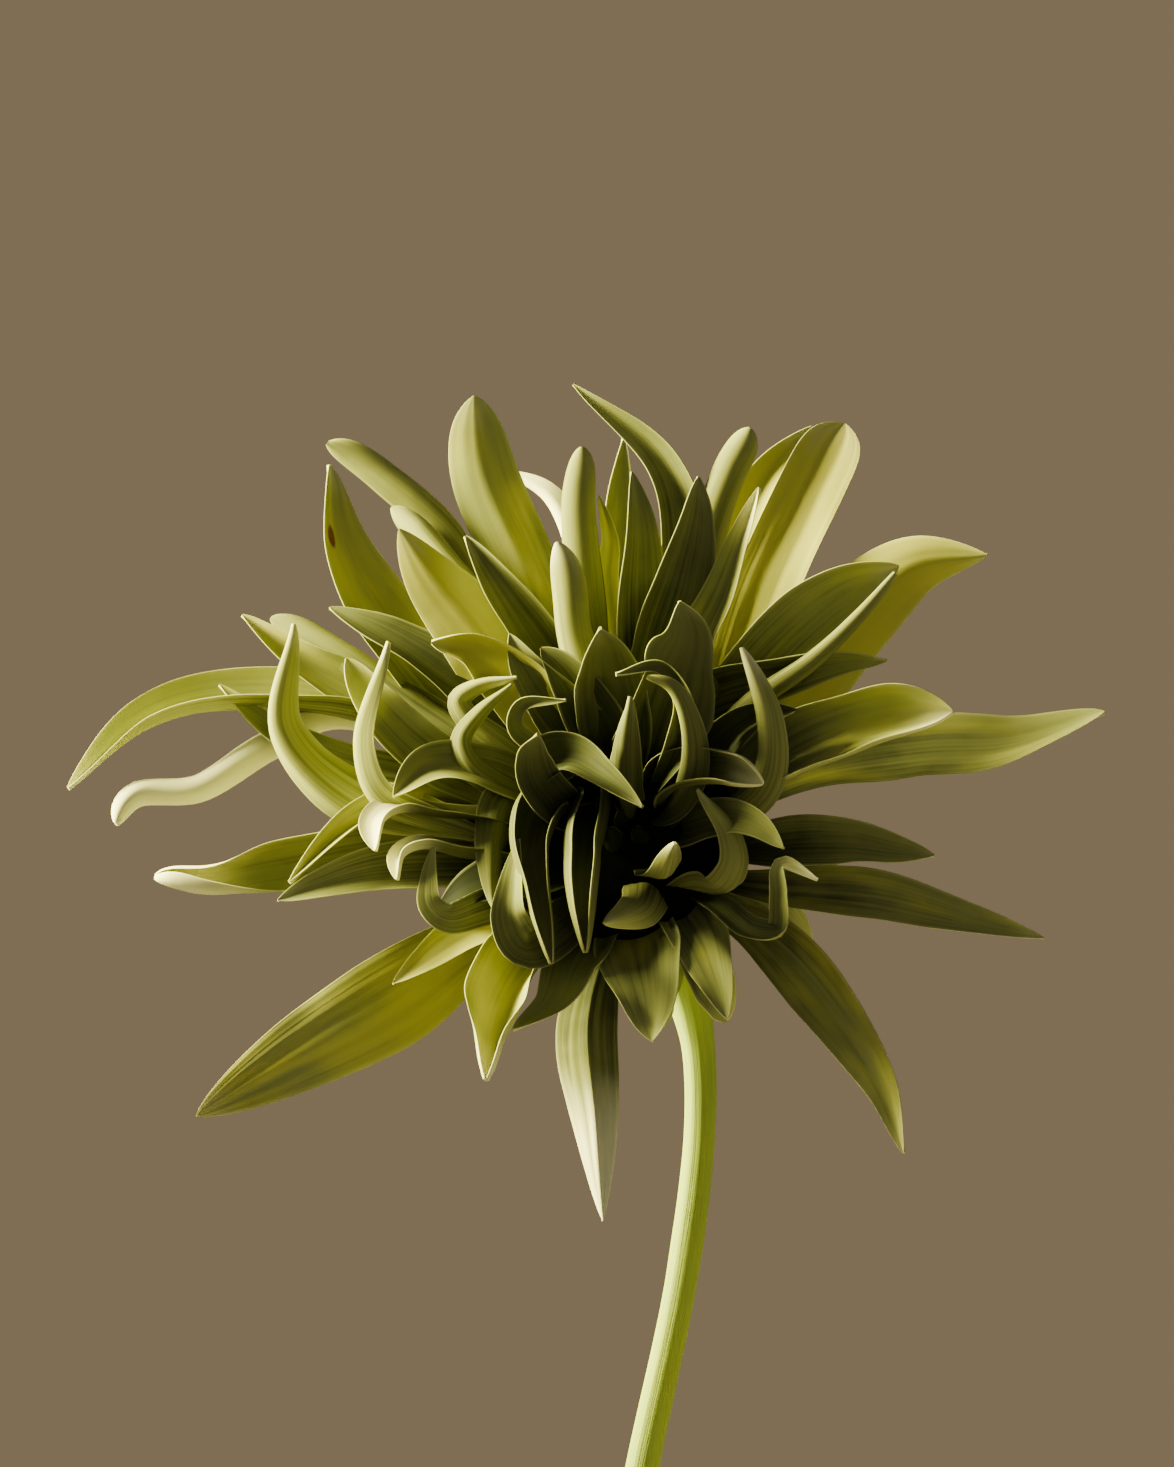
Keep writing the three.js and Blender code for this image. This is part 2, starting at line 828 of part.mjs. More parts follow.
// The stem with its bowl and the bracts grown on it. Grown for a cut, it also reaches past its foot.
function stemSolid(grow = 0) {
  const line = stemLine.map(([x, y, z, radius]) => ({ centre: new THREE.Vector3(x, y, z), radius }));
  for (const [height, radius] of bowl) {
    line.push({ centre: bloomPoint(0, 0, height), radius });
  }
  const curve = new THREE.CatmullRomCurve3(line.map(({ centre }) => centre), false, "centripetal");
  const places = [0];
  stemSteps.forEach((steps, span) => {
    for (let step = 1; step <= steps; step++) {
      places.push(span + step / steps);
    }
  });
  const side = new THREE.Vector3(1, 0, 0);
  const rings = places.map((place) => {
    const t = place / (line.length - 1);
    const direction = curve.getTangent(t);
    const centre = curve.getPoint(t);
    const span = Math.min(Math.floor(place), line.length - 2);
    const radius = THREE.MathUtils.lerp(line[span].radius, line[span + 1].radius, place - span) + grow;
    if (place === 0) {
      centre.addScaledVector(direction, -footCut * grow);
    }
    side.projectOnPlane(direction).normalize();
    const up = new THREE.Vector3().crossVectors(direction, side);
    const ring = [];
    for (let i = 0; i < stemSides; i++) {
      const angle = (2 * Math.PI * i) / stemSides;
      ring.push(
        centre
          .clone()
          .addScaledVector(side, radius * Math.cos(angle))
          .addScaledVector(up, radius * Math.sin(angle)),
      );
    }
    return ring;
  });
  let solid = skin(rings);
  for (const bracts of [leafyBracts, thinBracts]) {
    for (let i = 0; i < bracts.count; i++) {
      solid = solid.add(bractSolid(bracts, i, grow));
    }
  }
  return solid;
}

// Radius of the vase's outside at every height, as a smooth curve.
function vaseCurve() {
  return new THREE.SplineCurve(vaseOutline.map(([radius, height]) => new THREE.Vector2(radius, height)));
}

// The vase's inside from the floor's edge to just under the rim, `clear` away from the wall.
function vaseInside(clear) {
  const curve = vaseCurve();
  const inside = [];
  for (let step = 0; step <= vase.steps; step++) {
    const t = step / vase.steps;
    const point = curve.getPoint(t);
    const along = curve.getTangent(t);
    const inward = new THREE.Vector2(-along.y, along.x).multiplyScalar(vase.wall + clear);
    inside.push(point.add(inward));
  }
  const floor = vase.floor + clear;
  const above = inside.filter((point) => point.y > floor);
  const first = inside[inside.length - above.length - 1];
  const cut = first.clone().lerp(above[0], (floor - first.y) / (above[0].y - first.y));
  return [cut, ...above];
}

function vaseSolid() {
  const curve = vaseCurve();
  const [footRadius] = vaseOutline[0];
  const outside = [new THREE.Vector2(0, 0), new THREE.Vector2(footRadius - vase.footBevel, 0)];
  for (let step = 0; step <= vase.steps; step++) {
    const point = curve.getPoint(step / vase.steps);
    outside.push(step === 0 ? new THREE.Vector2(footRadius, vase.footBevel) : point);
  }
  const inside = vaseInside(0);
  const rimOut = outside[outside.length - 1];
  const rimIn = inside[inside.length - 1];
  const middle = rimOut.clone().add(rimIn).multiplyScalar(0.5);
  const rim = [];
  for (let step = 1; step < vase.rimSteps; step++) {
    rim.push(rimOut.clone().rotateAround(middle, (Math.PI * step) / vase.rimSteps));
  }
  const profile = [...outside, ...rim, ...inside.reverse(), new THREE.Vector2(0, vase.floor)];
  return latheSolid(profile);
}

function latheSolid(profile) {
  const lathe = new THREE.LatheGeometry(profile, vase.sides);
  lathe.rotateX(Math.PI / 2);
  return solidOf(lathe);
}

function waterSolid(stemCut) {
  const inside = vaseInside(seatGap).filter((point) => point.y < waterLevel);
  const [floor, edge] = [inside[0], inside[inside.length - 1]];
  const next = vaseInside(seatGap)[inside.length];
  const surface = edge.clone().lerp(next, (waterLevel - edge.y) / (next.y - edge.y));
  const profile = [new THREE.Vector2(0, floor.y), ...inside, surface, new THREE.Vector2(0, waterLevel)];
  return latheSolid(profile).subtract(stemCut);
}

// The largest body of a solid, without the scraps that a cut may leave and sealed hollows.
function mainBody(solid) {
  const bodies = solid.decompose();
  bodies.sort((a, b) => b.volume() - a.volume());
  return bodies[0];
}

function bloomSolid(stemCut) {
  const florets = [...Object.values(whorls).flatMap(whorlFlorets), ...backFlorets(), ...heartFlorets()];
  const blades = florets.map(floretSolid);
  const joined = wasm.Manifold.union([coreSolid(), ...blades]);
  return mainBody(joined.subtract(stemCut).simplify(meshTolerance));
}

function meshOf(name, solid, look) {
  const { vertProperties, triVerts } = solid.getMesh();
  const geometry = new THREE.BufferGeometry();
  geometry.setAttribute("position", new THREE.BufferAttribute(vertProperties, 3));
  geometry.setIndex(new THREE.BufferAttribute(triVerts, 1));
  geometry.computeVertexNormals();
  const mesh = new THREE.Mesh(geometry, new THREE.MeshStandardMaterial(look));
  mesh.name = name;
  return mesh;
}

const stemCut = stemSolid(seatGap);
const object = new THREE.Group();
object.add(meshOf("vase", vaseSolid(), { color: 0xd8d2c6, roughness: 0.45, metalness: 0 }));
object.add(
  meshOf("water", waterSolid(stemCut), {
    color: 0xdfe8e4,
    roughness: 0.05,
    metalness: 0,
    transparent: true,
    opacity: 0.35,
  }),
);
const stemWhole = stemSolid().simplify(meshTolerance);
object.add(meshOf("stem", stemWhole, { color: 0x9db24c, roughness: 0.5, metalness: 0 }));
object.add(meshOf("bloom", bloomSolid(stemCut), { color: 0x8f9632, roughness: 0.55, metalness: 0 }));

export default object;
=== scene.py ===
# Cactus dahlia in a stoneware bud vase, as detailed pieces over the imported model.
# Sizes are written in millimetres, and the meshes are in metres.
import math
import random

import bmesh
import bpy
import numpy as np
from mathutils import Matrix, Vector


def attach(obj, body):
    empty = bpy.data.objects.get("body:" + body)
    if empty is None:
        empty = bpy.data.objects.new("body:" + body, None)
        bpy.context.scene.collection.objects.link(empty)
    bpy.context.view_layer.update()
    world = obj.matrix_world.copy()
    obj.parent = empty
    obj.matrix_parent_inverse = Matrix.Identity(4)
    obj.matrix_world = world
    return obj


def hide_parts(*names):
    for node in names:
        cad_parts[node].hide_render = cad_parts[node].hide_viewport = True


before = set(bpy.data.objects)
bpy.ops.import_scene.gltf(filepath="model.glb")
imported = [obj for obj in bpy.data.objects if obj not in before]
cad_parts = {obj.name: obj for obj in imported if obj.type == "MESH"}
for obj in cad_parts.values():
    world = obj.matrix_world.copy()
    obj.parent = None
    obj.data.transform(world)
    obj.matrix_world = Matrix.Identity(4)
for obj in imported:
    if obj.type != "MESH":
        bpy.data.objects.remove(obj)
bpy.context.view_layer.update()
mm = 0.001
print("frame loaded")


# what an operator does: the socket is on its left, or on its right when reflected
def operator(operation, reflected=False):
    return lambda self, other: self.operate(operation, other, reflected)


# what a function of one number does
def function(operation):
    return lambda self: self.make("ShaderNodeMath", {"operation": operation}, {0: self})


class Wire:
    # one socket of a node, which Python's own operators work on
    def __init__(self, tree, socket=None):
        self.tree = tree
        self.socket = socket

    # any node: its settings first, then the values or links of its sockets
    def make(self, kind, settings, values, output=0):
        node = self.tree.nodes.new(kind)
        for name, value in settings.items():
            setattr(node, name, value)
        for key, value in values.items():
            if isinstance(value, Wire):
                self.tree.links.new(value.socket, node.inputs[key])
            else:
                node.inputs[key].default_value = value
        return Wire(self.tree, node.outputs[output]) if node.outputs else None

    def operate(self, operation, other, reflected):
        first, second = (other, self) if reflected else (self, other)
        vectors = [isVector(first), isVector(second)]
        if not any(vectors):
            return self.make("ShaderNodeMath", {"operation": operation}, {0: first, 1: second})
        if operation == "MULTIPLY" and not all(vectors):
            whole, part = (first, second) if vectors[0] else (second, first)
            return self.make("ShaderNodeVectorMath", {"operation": "SCALE"}, {0: whole, "Scale": part})
        return self.make("ShaderNodeVectorMath", {"operation": operation}, {0: first, 1: second})

    __add__, __radd__ = operator("ADD"), operator("ADD", True)
    __sub__, __rsub__ = operator("SUBTRACT"), operator("SUBTRACT", True)
    __mul__, __rmul__ = operator("MULTIPLY"), operator("MULTIPLY", True)
    __truediv__, __rtruediv__ = operator("DIVIDE"), operator("DIVIDE", True)
    __lt__, __gt__ = operator("LESS_THAN"), operator("GREATER_THAN")
    __abs__, root = function("ABSOLUTE"), function("SQRT")
    sin, cos = function("SINE"), function("COSINE")

    # 0 below `low`, 1 above `high`, smooth between
    def step(self, low, high):
        values = {"Value": self, "From Min": low, "From Max": high}
        return self.make("ShaderNodeMapRange", {"interpolation_type": "SMOOTHSTEP"}, values)

    # so much of the second colour over the first
    def mix(self, first, second):
        values = {0: self, 6: asColour(first), 7: asColour(second)}
        return self.make("ShaderNodeMix", {"data_type": "RGBA"}, values, 2)

    def noise(self, scale, detail=2.0, roughness=0.5):
        values = {"Vector": self, "Scale": scale, "Detail": detail, "Roughness": roughness}
        return self.make("ShaderNodeTexNoise", {}, values)

    # a relief of this height in millimetres
    def relief(self, strength):
        return self.make("ShaderNodeBump", {}, {"Strength": strength, "Distance": mm, "Height": self})


def isVector(value):
    return isinstance(value, tuple) or isinstance(value, Wire) and value.socket.type == "VECTOR"


# a vector of three numbers
def joined(start, x, y, z):
    return start.make("ShaderNodeCombineXYZ", {}, {"X": x, "Y": y, "Z": z})


# a new material, and the place on its piece
def newMaterial(name):
    material = bpy.data.materials.new(name)
    material.use_nodes = True
    material.node_tree.nodes.clear()
    start = Wire(material.node_tree)
    return material, start, start.make("ShaderNodeTexCoord", {}, {}, "Object")


def asColour(value):
    return value if isinstance(value, Wire) else (*value, 1)


def shaded(colour, share):
    return tuple(share * c for c in colour)


# sets the shader's own sockets, links what varies, and closes the material
def finishMaterial(start, values):
    shader = start.make("ShaderNodeBsdfPrincipled", {}, values)
    start.make("ShaderNodeOutputMaterial", {}, {"Surface": shader})


def readAttributes(start, *names):
    return [start.make("ShaderNodeAttribute", {"attribute_name": name}, {}, "Fac") for name in names]


def newGeometryTree(name, sizes):
    tree = bpy.data.node_groups.new(name, "GeometryNodeTree")
    tree.interface.new_socket("Geometry", in_out="INPUT", socket_type="NodeSocketGeometry")
    tree.interface.new_socket("Geometry", in_out="OUTPUT", socket_type="NodeSocketGeometry")
    for label, value in sizes.items():
        kind = "NodeSocketInt" if isinstance(value, int) else "NodeSocketFloat"
        tree.interface.new_socket(label, in_out="INPUT", socket_type=kind).default_value = value
    tree.interface.new_socket("Material", in_out="INPUT", socket_type="NodeSocketMaterial")
    entry = tree.nodes.new("NodeGroupInput")
    given = {socket.name: Wire(tree, socket) for socket in entry.outputs if socket.name}
    return tree, Wire(tree), given


# a circle of points, and the number of each; every point gets its real place at the end of its tree
def pointCircle(start, count):
    values = {"Resolution": count, "Radius": mm}
    circle = start.make("GeometryNodeCurvePrimitiveCircle", {"mode": "RADIUS"}, values)
    return circle, start.make("GeometryNodeInputIndex", {}, {})


def store(start, geometry, name, value):
    values = {"Geometry": geometry, "Name": name, "Value": value}
    return start.make("GeometryNodeStoreNamedAttribute", {"data_type": "FLOAT", "domain": "POINT"}, values)


def named(start, *names, kind="FLOAT"):
    settings = {"data_type": kind}
    return [start.make("GeometryNodeInputNamedAttribute", settings, {"Name": name}) for name in names]


def meshLines(start, given):
    return start.make("GeometryNodeMeshToCurve", {}, {"Mesh": given["Geometry"]})


def sweep(start, path, profile, closed=False):
    values = {"Curve": path, "Profile Curve": profile, "Fill Caps": closed}
    return start.make("GeometryNodeCurveToMesh", {}, values)


# puts every point in its place, and ends the tree
def closeTree(start, skin, place, material):
    shaped = start.make("GeometryNodeSetPosition", {}, {"Geometry": skin, "Position": place})
    real = start.make("GeometryNodeRealizeInstances", {}, {"Geometry": shaped})
    dressed = start.make("GeometryNodeSetMaterial", {}, {"Geometry": real, "Material": material})
    start.make("NodeGroupOutput", {}, {"Geometry": dressed})


def newObject(name, data):
    thing = bpy.data.objects.new(name, data)
    bpy.context.scene.collection.objects.link(thing)
    return thing


# runs a tree of nodes on a mesh and returns the result as a plain object at the origin,
# without the attributes that only the tree needs
def grown(name, base, tree, material, drop):
    piece = newObject(name, base)
    modifier = piece.modifiers.new("nodes", "NODES")
    modifier.node_group = tree
    sockets = {item.name: item.identifier for item in tree.interface.items_tree if item.in_out == "INPUT"}
    modifier[sockets["Material"]] = material
    depsgraph = bpy.context.evaluated_depsgraph_get()
    evaluated = piece.evaluated_get(depsgraph)
    mesh = bpy.data.meshes.new_from_object(evaluated, preserve_all_data_layers=True, depsgraph=depsgraph)
    piece.modifiers.remove(modifier)
    piece.data = mesh
    for key in drop:
        mesh.attributes.remove(mesh.attributes[key])
    closeShells(mesh)
    return piece


# poles merged, faces outwards, shaded smooth
def closeShells(mesh):
    sameSpot = 0.0005 * mm
    shape = bmesh.new()
    shape.from_mesh(mesh)
    bmesh.ops.remove_doubles(shape, verts=shape.verts, dist=sameSpot)
    bmesh.ops.recalc_face_normals(shape, faces=shape.faces)
    for face in shape.faces:
        face.smooth = True
    shape.to_mesh(mesh)
    shape.free()


# a mesh of open lines, with named numbers and vectors at their points
def linesMesh(name, lines, numbers):
    edges = []
    first = 0
    for line in lines:
        edges += [(first + i, first + i + 1) for i in range(len(line) - 1)]
        first += len(line)
    mesh = bpy.data.meshes.new(name)
    mesh.from_pydata(np.concatenate(lines), edges, [])
    for key, values in numbers.items():
        isRow = values.ndim == 2
        attribute = mesh.attributes.new(key, "FLOAT_VECTOR" if isRow else "FLOAT", "POINT")
        attribute.data.foreach_set("vector" if isRow else "value", values.ravel())
    return mesh


# hides the imported part that a piece stands for, hangs the piece on the root body and prints its faces
def dress(piece, node):
    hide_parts(node)
    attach(piece, "root")
    print(piece.name, "made:", len(piece.data.polygons), "faces")


# Camera: straight at the bloom, a metre and a half away, as in the photograph.
cameraSetup = {
    "aim": (5.9, -22, 294.4),
    "distance": 1500,
    "longSide": 198.8,  # what the picture's long side shows at the bloom
    "sensor": 36,
}


def makeCamera():
    data = bpy.data.cameras.new("camera")
    data.sensor_width = cameraSetup["sensor"]
    data.lens = cameraSetup["sensor"] * cameraSetup["distance"] / cameraSetup["longSide"]
    data.clip_start = 10 * mm
    camera = newObject("camera", data)
    x, y, z = cameraSetup["aim"]
    camera.location = Vector((x, y - cameraSetup["distance"], z)) * mm
    camera.rotation_euler = (math.pi / 2, 0, 0)
    bpy.context.scene.camera = camera


# Light: a warm key from high on the left, a weak fill in front, and a dim surround that is
# seen in one colour and lights in another, as a wall does that stands well behind.
lights = {
    "key": dict(place=(-560, 40, 560), size=230, spread=60, watts=7.6, colour=(1.0, 0.93, 0.56)),
    "fill": dict(place=(300, -1200, 500), size=700, spread=180, watts=0.15, colour=(0.9, 0.95, 1.0)),
}
surround = dict(seen=(0.216, 0.162, 0.094), glow=(0.19, 0.175, 0.23), strength=0.95)
floorSetup = dict(radius=400, segments=96, level=-0.2, colour=(0.62, 0.58, 0.52), uneven=0.03)


def makeLights():
    middle = Vector(cameraSetup["aim"]) * mm
    for name, values in lights.items():
        data = bpy.data.lights.new(name, "AREA")
        data.size = values["size"] * mm
        data.spread = math.radians(values["spread"])
        data.energy = values["watts"]
        data.color = values["colour"]
        lamp = newObject(name, data)
        lamp.location = Vector(values["place"]) * mm
        lamp.rotation_euler = (middle - lamp.location).to_track_quat("-Z", "Y").to_euler()


def makeSurround():
    world = bpy.data.worlds.new("surround")
    world.use_nodes = True
    world.node_tree.nodes.clear()
    start = Wire(world.node_tree)
    seen = start.make("ShaderNodeBackground", {}, {"Color": asColour(surround["seen"])})
    values = {"Color": asColour(surround["glow"]), "Strength": surround["strength"]}
    glow = start.make("ShaderNodeBackground", {}, values)
    direct = start.make("ShaderNodeLightPath", {}, {}, "Is Camera Ray")
    both = start.make("ShaderNodeMixShader", {}, {0: direct, 1: glow, 2: seen})
    start.make("ShaderNodeOutputWorld", {}, {"Surface": both})
    bpy.context.scene.world = world


def floorMaterial():
    material, start, place = newMaterial("paleFloor")
    pale, uneven = floorSetup["colour"], floorSetup["uneven"]
    grain = place.noise(60.0, 4.0)
    colour = grain.mix(shaded(pale, 1 - uneven), shaded(pale, 1 + uneven))
    finishMaterial(start, {"Base Color": colour, "Roughness": 0.7})
    return material


def makeFloor():
    shape = bmesh.new()
    radius = floorSetup["radius"] * mm
    bmesh.ops.create_circle(shape, cap_ends=True, segments=floorSetup["segments"], radius=radius)
    for vertex in shape.verts:
        vertex.co.z = floorSetup["level"] * mm
    mesh = bpy.data.meshes.new("floor")
    shape.to_mesh(mesh)
    shape.free()
    mesh.materials.append(floorMaterial())
    newObject("floor", mesh)


makeCamera()
makeLights()
makeSurround()
makeFloor()
print("camera, lights and floor made")


# Vase: the outline of its outside as radius and height, its wall, and its glaze.
vaseSetup = {
    "outline": [(31, 0), (39, 30), (40.5, 60), (31, 98), (16.4, 126), (11.6, 146), (13.1, 165)],
    "wall": 3,
    "floor": 5,
    "footBevel": 1.2,
    "innerCorner": 2,  # the radius between the wall and the floor inside
    "steps": 84,
    "rimSteps": 10,
    "segments": 128,
    "glazeLine": 6,
    "glazeWander": 5,  # how far the glaze's edge runs up and down
    "glaze": (0.60, 0.56, 0.49),
    "glazeWarm": (0.52, 0.44, 0.34),
    "speckle": (0.10, 0.065, 0.04),
    "speckles": [(620.0, 0.2, 0.2), (300.0, 0.16, 0.12), (150.0, 0.1, 0.1)],  # scale, size, share
    "clay": (0.36, 0.25, 0.16),
    "throwingMarks": 0.10,
    "marksPerMm": 0.33,
}


# the outline as a smooth curve: places and directions
def vaseCurve(steps):
    points = np.array(vaseSetup["outline"], float)
    spans = len(points) - 1
    places, directions = [], []
    for t in np.linspace(0, spans, steps + 1):
        k = min(int(t), spans - 1)
        s = t - k
        p0, p1, p2, p3 = (points[min(max(k + i, 0), spans)] for i in (-1, 0, 1, 2))
        t1, t2 = (p2 - p0) / 2, (p3 - p1) / 2
        a, b = 2 * p1 - 2 * p2 + t1 + t2, -3 * p1 + 3 * p2 - 2 * t1 - t2
        places.append(a * s**3 + b * s**2 + t1 * s + p1)
        direction = 3 * a * s**2 + 2 * b * s + t1
        directions.append(direction / np.linalg.norm(direction))
    return np.array(places), np.array(directions)


# once round the wall, from the middle of the foot to the middle of the floor inside
def vaseProfile():
    places, directions = vaseCurve(vaseSetup["steps"])
    footRadius = places[0][0]
    bevel = vaseSetup["footBevel"]
    turn = [(math.sin(a), 1 - math.cos(a)) for a in np.linspace(0, math.pi / 2, 6)]
    foot = [(0, 0), (footRadius / 2, 0)]
    foot += [(footRadius - bevel + bevel * x, bevel * z) for x, z in turn]
    outside = [point for point in places[1:] if point[1] > 1.3 * bevel]  # clear of the bevel
    inside = places + np.stack([-directions[:, 1], directions[:, 0]], axis=1) * vaseSetup["wall"]
    rimOut, rimIn = places[-1], inside[-1]
    middle, spoke = (rimOut + rimIn) / 2, (rimOut - rimIn) / 2
    rim = []
    for a in np.pi * np.arange(1, vaseSetup["rimSteps"]) / vaseSetup["rimSteps"]:
        c, s = math.cos(a), math.sin(a)
        rim.append(middle + np.array([spoke[0] * c - spoke[1] * s, spoke[0] * s + spoke[1] * c]))
    floor, corner = vaseSetup["floor"], vaseSetup["innerCorner"]
    above = [point for point in inside[::-1] if point[1] > floor + corner]
    reach = above[-1][0]
    bend = []
    for a in np.linspace(0.3, 1.57, 5):  # from nearly upright to level
        bend.append((reach - corner * (1 - math.cos(a)), floor + corner * (1 - math.sin(a))))
    return np.array([*foot, *outside, *rim, *above, *bend, (reach / 2, floor), (0, floor)])


# turns a profile, given as reach and level at its points, about the upright axis
def turnedTree():
    tree, start, given = newGeometryTree("turnedOnTheWheel", {"Segments": vaseSetup["segments"]})
    wheel, index = pointCircle(start, given["Segments"])
    wheel = store(start, wheel, "angle", index / given["Segments"] * (2 * math.pi))
    skin = sweep(start, wheel, meshLines(start, given))
    angle, reach, level = named(start, "angle", "reach", "level")
    place = joined(start, angle.cos() * reach, angle.sin() * reach, level)
    closeTree(start, skin, place, given["Material"])
    return tree


def turnedPiece(name, profile, tree, material):
    profile = np.array(profile, float) * mm
    points = np.stack([profile[:, 0], 0 * profile[:, 0], profile[:, 1]], axis=1)
    base = linesMesh(name, [points], {"reach": profile[:, 0], "level": profile[:, 1]})
    return grown(name, base, tree, material, ["angle", "reach", "level"])


def glazeMaterial():
    values = vaseSetup
    material, start, place = newMaterial("stonewareGlaze")
    z = start.make("ShaderNodeSeparateXYZ", {}, {"Vector": place}, "Z") * 1000

    # the marks of the fingers run round the pot, and wander a little
    wander = place.noise(14.0)
    bands = joined(start, z * values["marksPerMm"] + wander * 1.6, 0.0, 0.0).noise(1.0, 3.0)

    # the glaze is warmer where it is thin: on the rim, on the marks and down to its edge over the foot
    cloud = place.noise(38.0, 5.0, 0.6)
    edge = values["glazeLine"] + (wander - 0.5) * values["glazeWander"]
    bare = 1 - z.step(edge, edge + 0.5)
    top = values["outline"][-1][1]
    thin = z.step(top - 2.2, top + 1.2) * 0.8 + (1 - z.step(edge, edge + 9)) * 0.7
    warmth = (cloud * 0.5 + bands * 0.55 - 0.28 + thin).step(0.0, 1.0)
    colour = warmth.mix(values["glaze"], values["glazeWarm"])

    # iron speckles of several sizes
    specks = 0
    for scale, size, share in values["speckles"]:
        cell = {"Vector": place, "Scale": scale, "Randomness": 1.0}
        distance, chance = (start.make("ShaderNodeTexVoronoi", {}, cell, k) for k in ("Distance", "Color"))
        chosen = start.make("ShaderNodeSeparateColor", {}, {"Color": chance}, "Red") < share
        specks = (1 - distance.step(size * 0.45, size)) * chosen + specks
    colour = (specks.step(0.0, 1.0) * 0.85).mix(colour, values["speckle"])

    # bare clay under the glaze line
    grit = place.noise(900.0, 3.0)
    clay = grit.mix(shaded(values["clay"], 0.75), shaded(values["clay"], 1.2))
    colour = bare.mix(colour, clay)
    roughness = 0.3 + cloud * 0.16 + specks * 0.15 + bare * 0.45
    height = bands * values["throwingMarks"] + cloud * 0.05 + grit * bare * 0.15 - bare * 0.25
    bump = height.relief(0.8)
    finishMaterial(start, {"Base Color": colour, "Roughness": roughness, "Normal": bump, "Coat Weight": 0.15})
    return material


wheelTree = turnedTree()
vase = turnedPiece("stonewareVase", vaseProfile(), wheelTree, glazeMaterial())
dress(vase, "vase")


# Water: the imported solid, clear with a faint tint of leaf and fine dust on it.
waterSetup = {
    "tint": (0.86, 0.93, 0.84),
    "murk": (0.78, 0.84, 0.66),
    "ripple": 0.12,
    "clearness": 0.95,
    "refraction": 1.33,
}


def waterMaterial():
    values = waterSetup
    material, start, place = newMaterial("vaseWater")
    drift = place.noise(45.0, 3.0)
    colour = drift.mix(values["tint"], values["murk"])
    bump = (place.noise(120.0) * values["ripple"]).relief(0.4)
    fixed = {"Transmission Weight": values["clearness"], "IOR": values["refraction"]}
    finishMaterial(start, {"Base Color": colour, "Roughness": drift * 0.05 + 0.01, "Normal": bump, **fixed})
    return material


waterLook = waterMaterial()
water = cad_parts["water"].data
for index in range(len(water.materials)):
    water.materials[index] = waterLook
print("water dressed")


# Where the bloom is: the heart is the middle of the receptacle's top, and the bloom looks
# left and up from it, along its axis.
heart = np.array([11, -22, 276.6])
faceUp = math.radians(20)
faceLeft = math.radians(6)
across = np.array([math.cos(faceLeft), -math.sin(faceLeft), 0])
ahead = np.array([-math.sin(faceLeft), -math.cos(faceLeft), 0])
axis = ahead * math.cos(faceUp) + np.array([0, 0, math.sin(faceUp)])
upward = np.cross(axis, across)


# right and up of the axis, and height over the heart
def bloomPoint(right, up, height):
    return heart + right * across + up * upward + height * axis


def smooth(value):
    value = np.clip(value, 0, 1)
    return value * value * (3 - 2 * value)


def unit(vectors):
    return vectors / np.linalg.norm(vectors, axis=-1, keepdims=True)


# a centripetal Catmull-Rom line through the points, with its places closely sampled; the
# samples' own numbers run from 0 at the first point to the count of spans at the last
def smoothLine(points, steps=24):
    points = [np.array(point, float) for point in points]
    points = [2 * points[0] - points[1], *points, 2 * points[-1] - points[-2]]
    samples = []
    for p0, p1, p2, p3 in zip(points, points[1:], points[2:], points[3:]):
        d0, d1, d2 = (math.sqrt(np.linalg.norm(b - a)) for a, b in ((p0, p1), (p1, p2), (p2, p3)))
        t1 = ((p1 - p0) / d0 - (p2 - p0) / (d0 + d1) + (p2 - p1) / d1) * d1
        t2 = ((p2 - p1) / d1 - (p3 - p1) / (d1 + d2) + (p3 - p2) / d2) * d1
        for s in np.arange(steps) / steps:
            curl = (3 * p2 - 3 * p1 - 2 * t1 - t2) * s**2 + (2 * p1 - 2 * p2 + t1 + t2) * s**3
            samples.append(p1 + t1 * s + curl)
    samples.append(points[-2])
    return np.array(samples)


# how far along a line each of its samples is
def runsOf(samples):
    return np.concatenate([[0], np.cumsum(np.linalg.norm(np.diff(samples, axis=0), axis=1))])


# places at shares of a line's length, and that length
def alongLine(samples, shares):
    runs = runsOf(samples)
    places = np.stack([np.interp(shares * runs[-1], runs, samples[:, k]) for k in range(3)], axis=1)
    return places, runs[-1]


# Stem: its middle line from the cut end to the bowl under the bloom, each point with its radius;
# the bowl goes on as height over the heart and radius.
stemSetup = {
    "line": [
        (-24.6, 0, 5.9, 2.7),
        (-9.4, 0, 80, 2.5),
        (7.3, 0, 163, 2.35),
        (13.8, 0, 195, 2.3),
        (19, 0.4, 220, 2.2),
        (21.4, 0.6, 240, 2.15),
        (21.1, 0.2, 252, 2.3),
        (18.9, -0.8, 261.5, 3.4),
        (16.2, -3.6, 268, 4.4),
        (14, -7.6, 271.4, 5),
    ],
    "bowl": [(-8.5, 5.6), (-5.2, 7.8), (-2.6, 8.7), (-1, 8.8)],
    "cutEdge": [(0.0, 0.0), (0.0, 0.7), (0.05, 0.92)],  # along the stem and out, in radii
    "bowlTop": [8.7, 6, 0],  # the radii that close it
    "rings": 260,
    "smoothing": 6,
    "lit": (0.46, 0.57, 0.050),
    "deep": (0.33, 0.43, 0.055),
    "blush": (0.20, 0.12, 0.05),
}


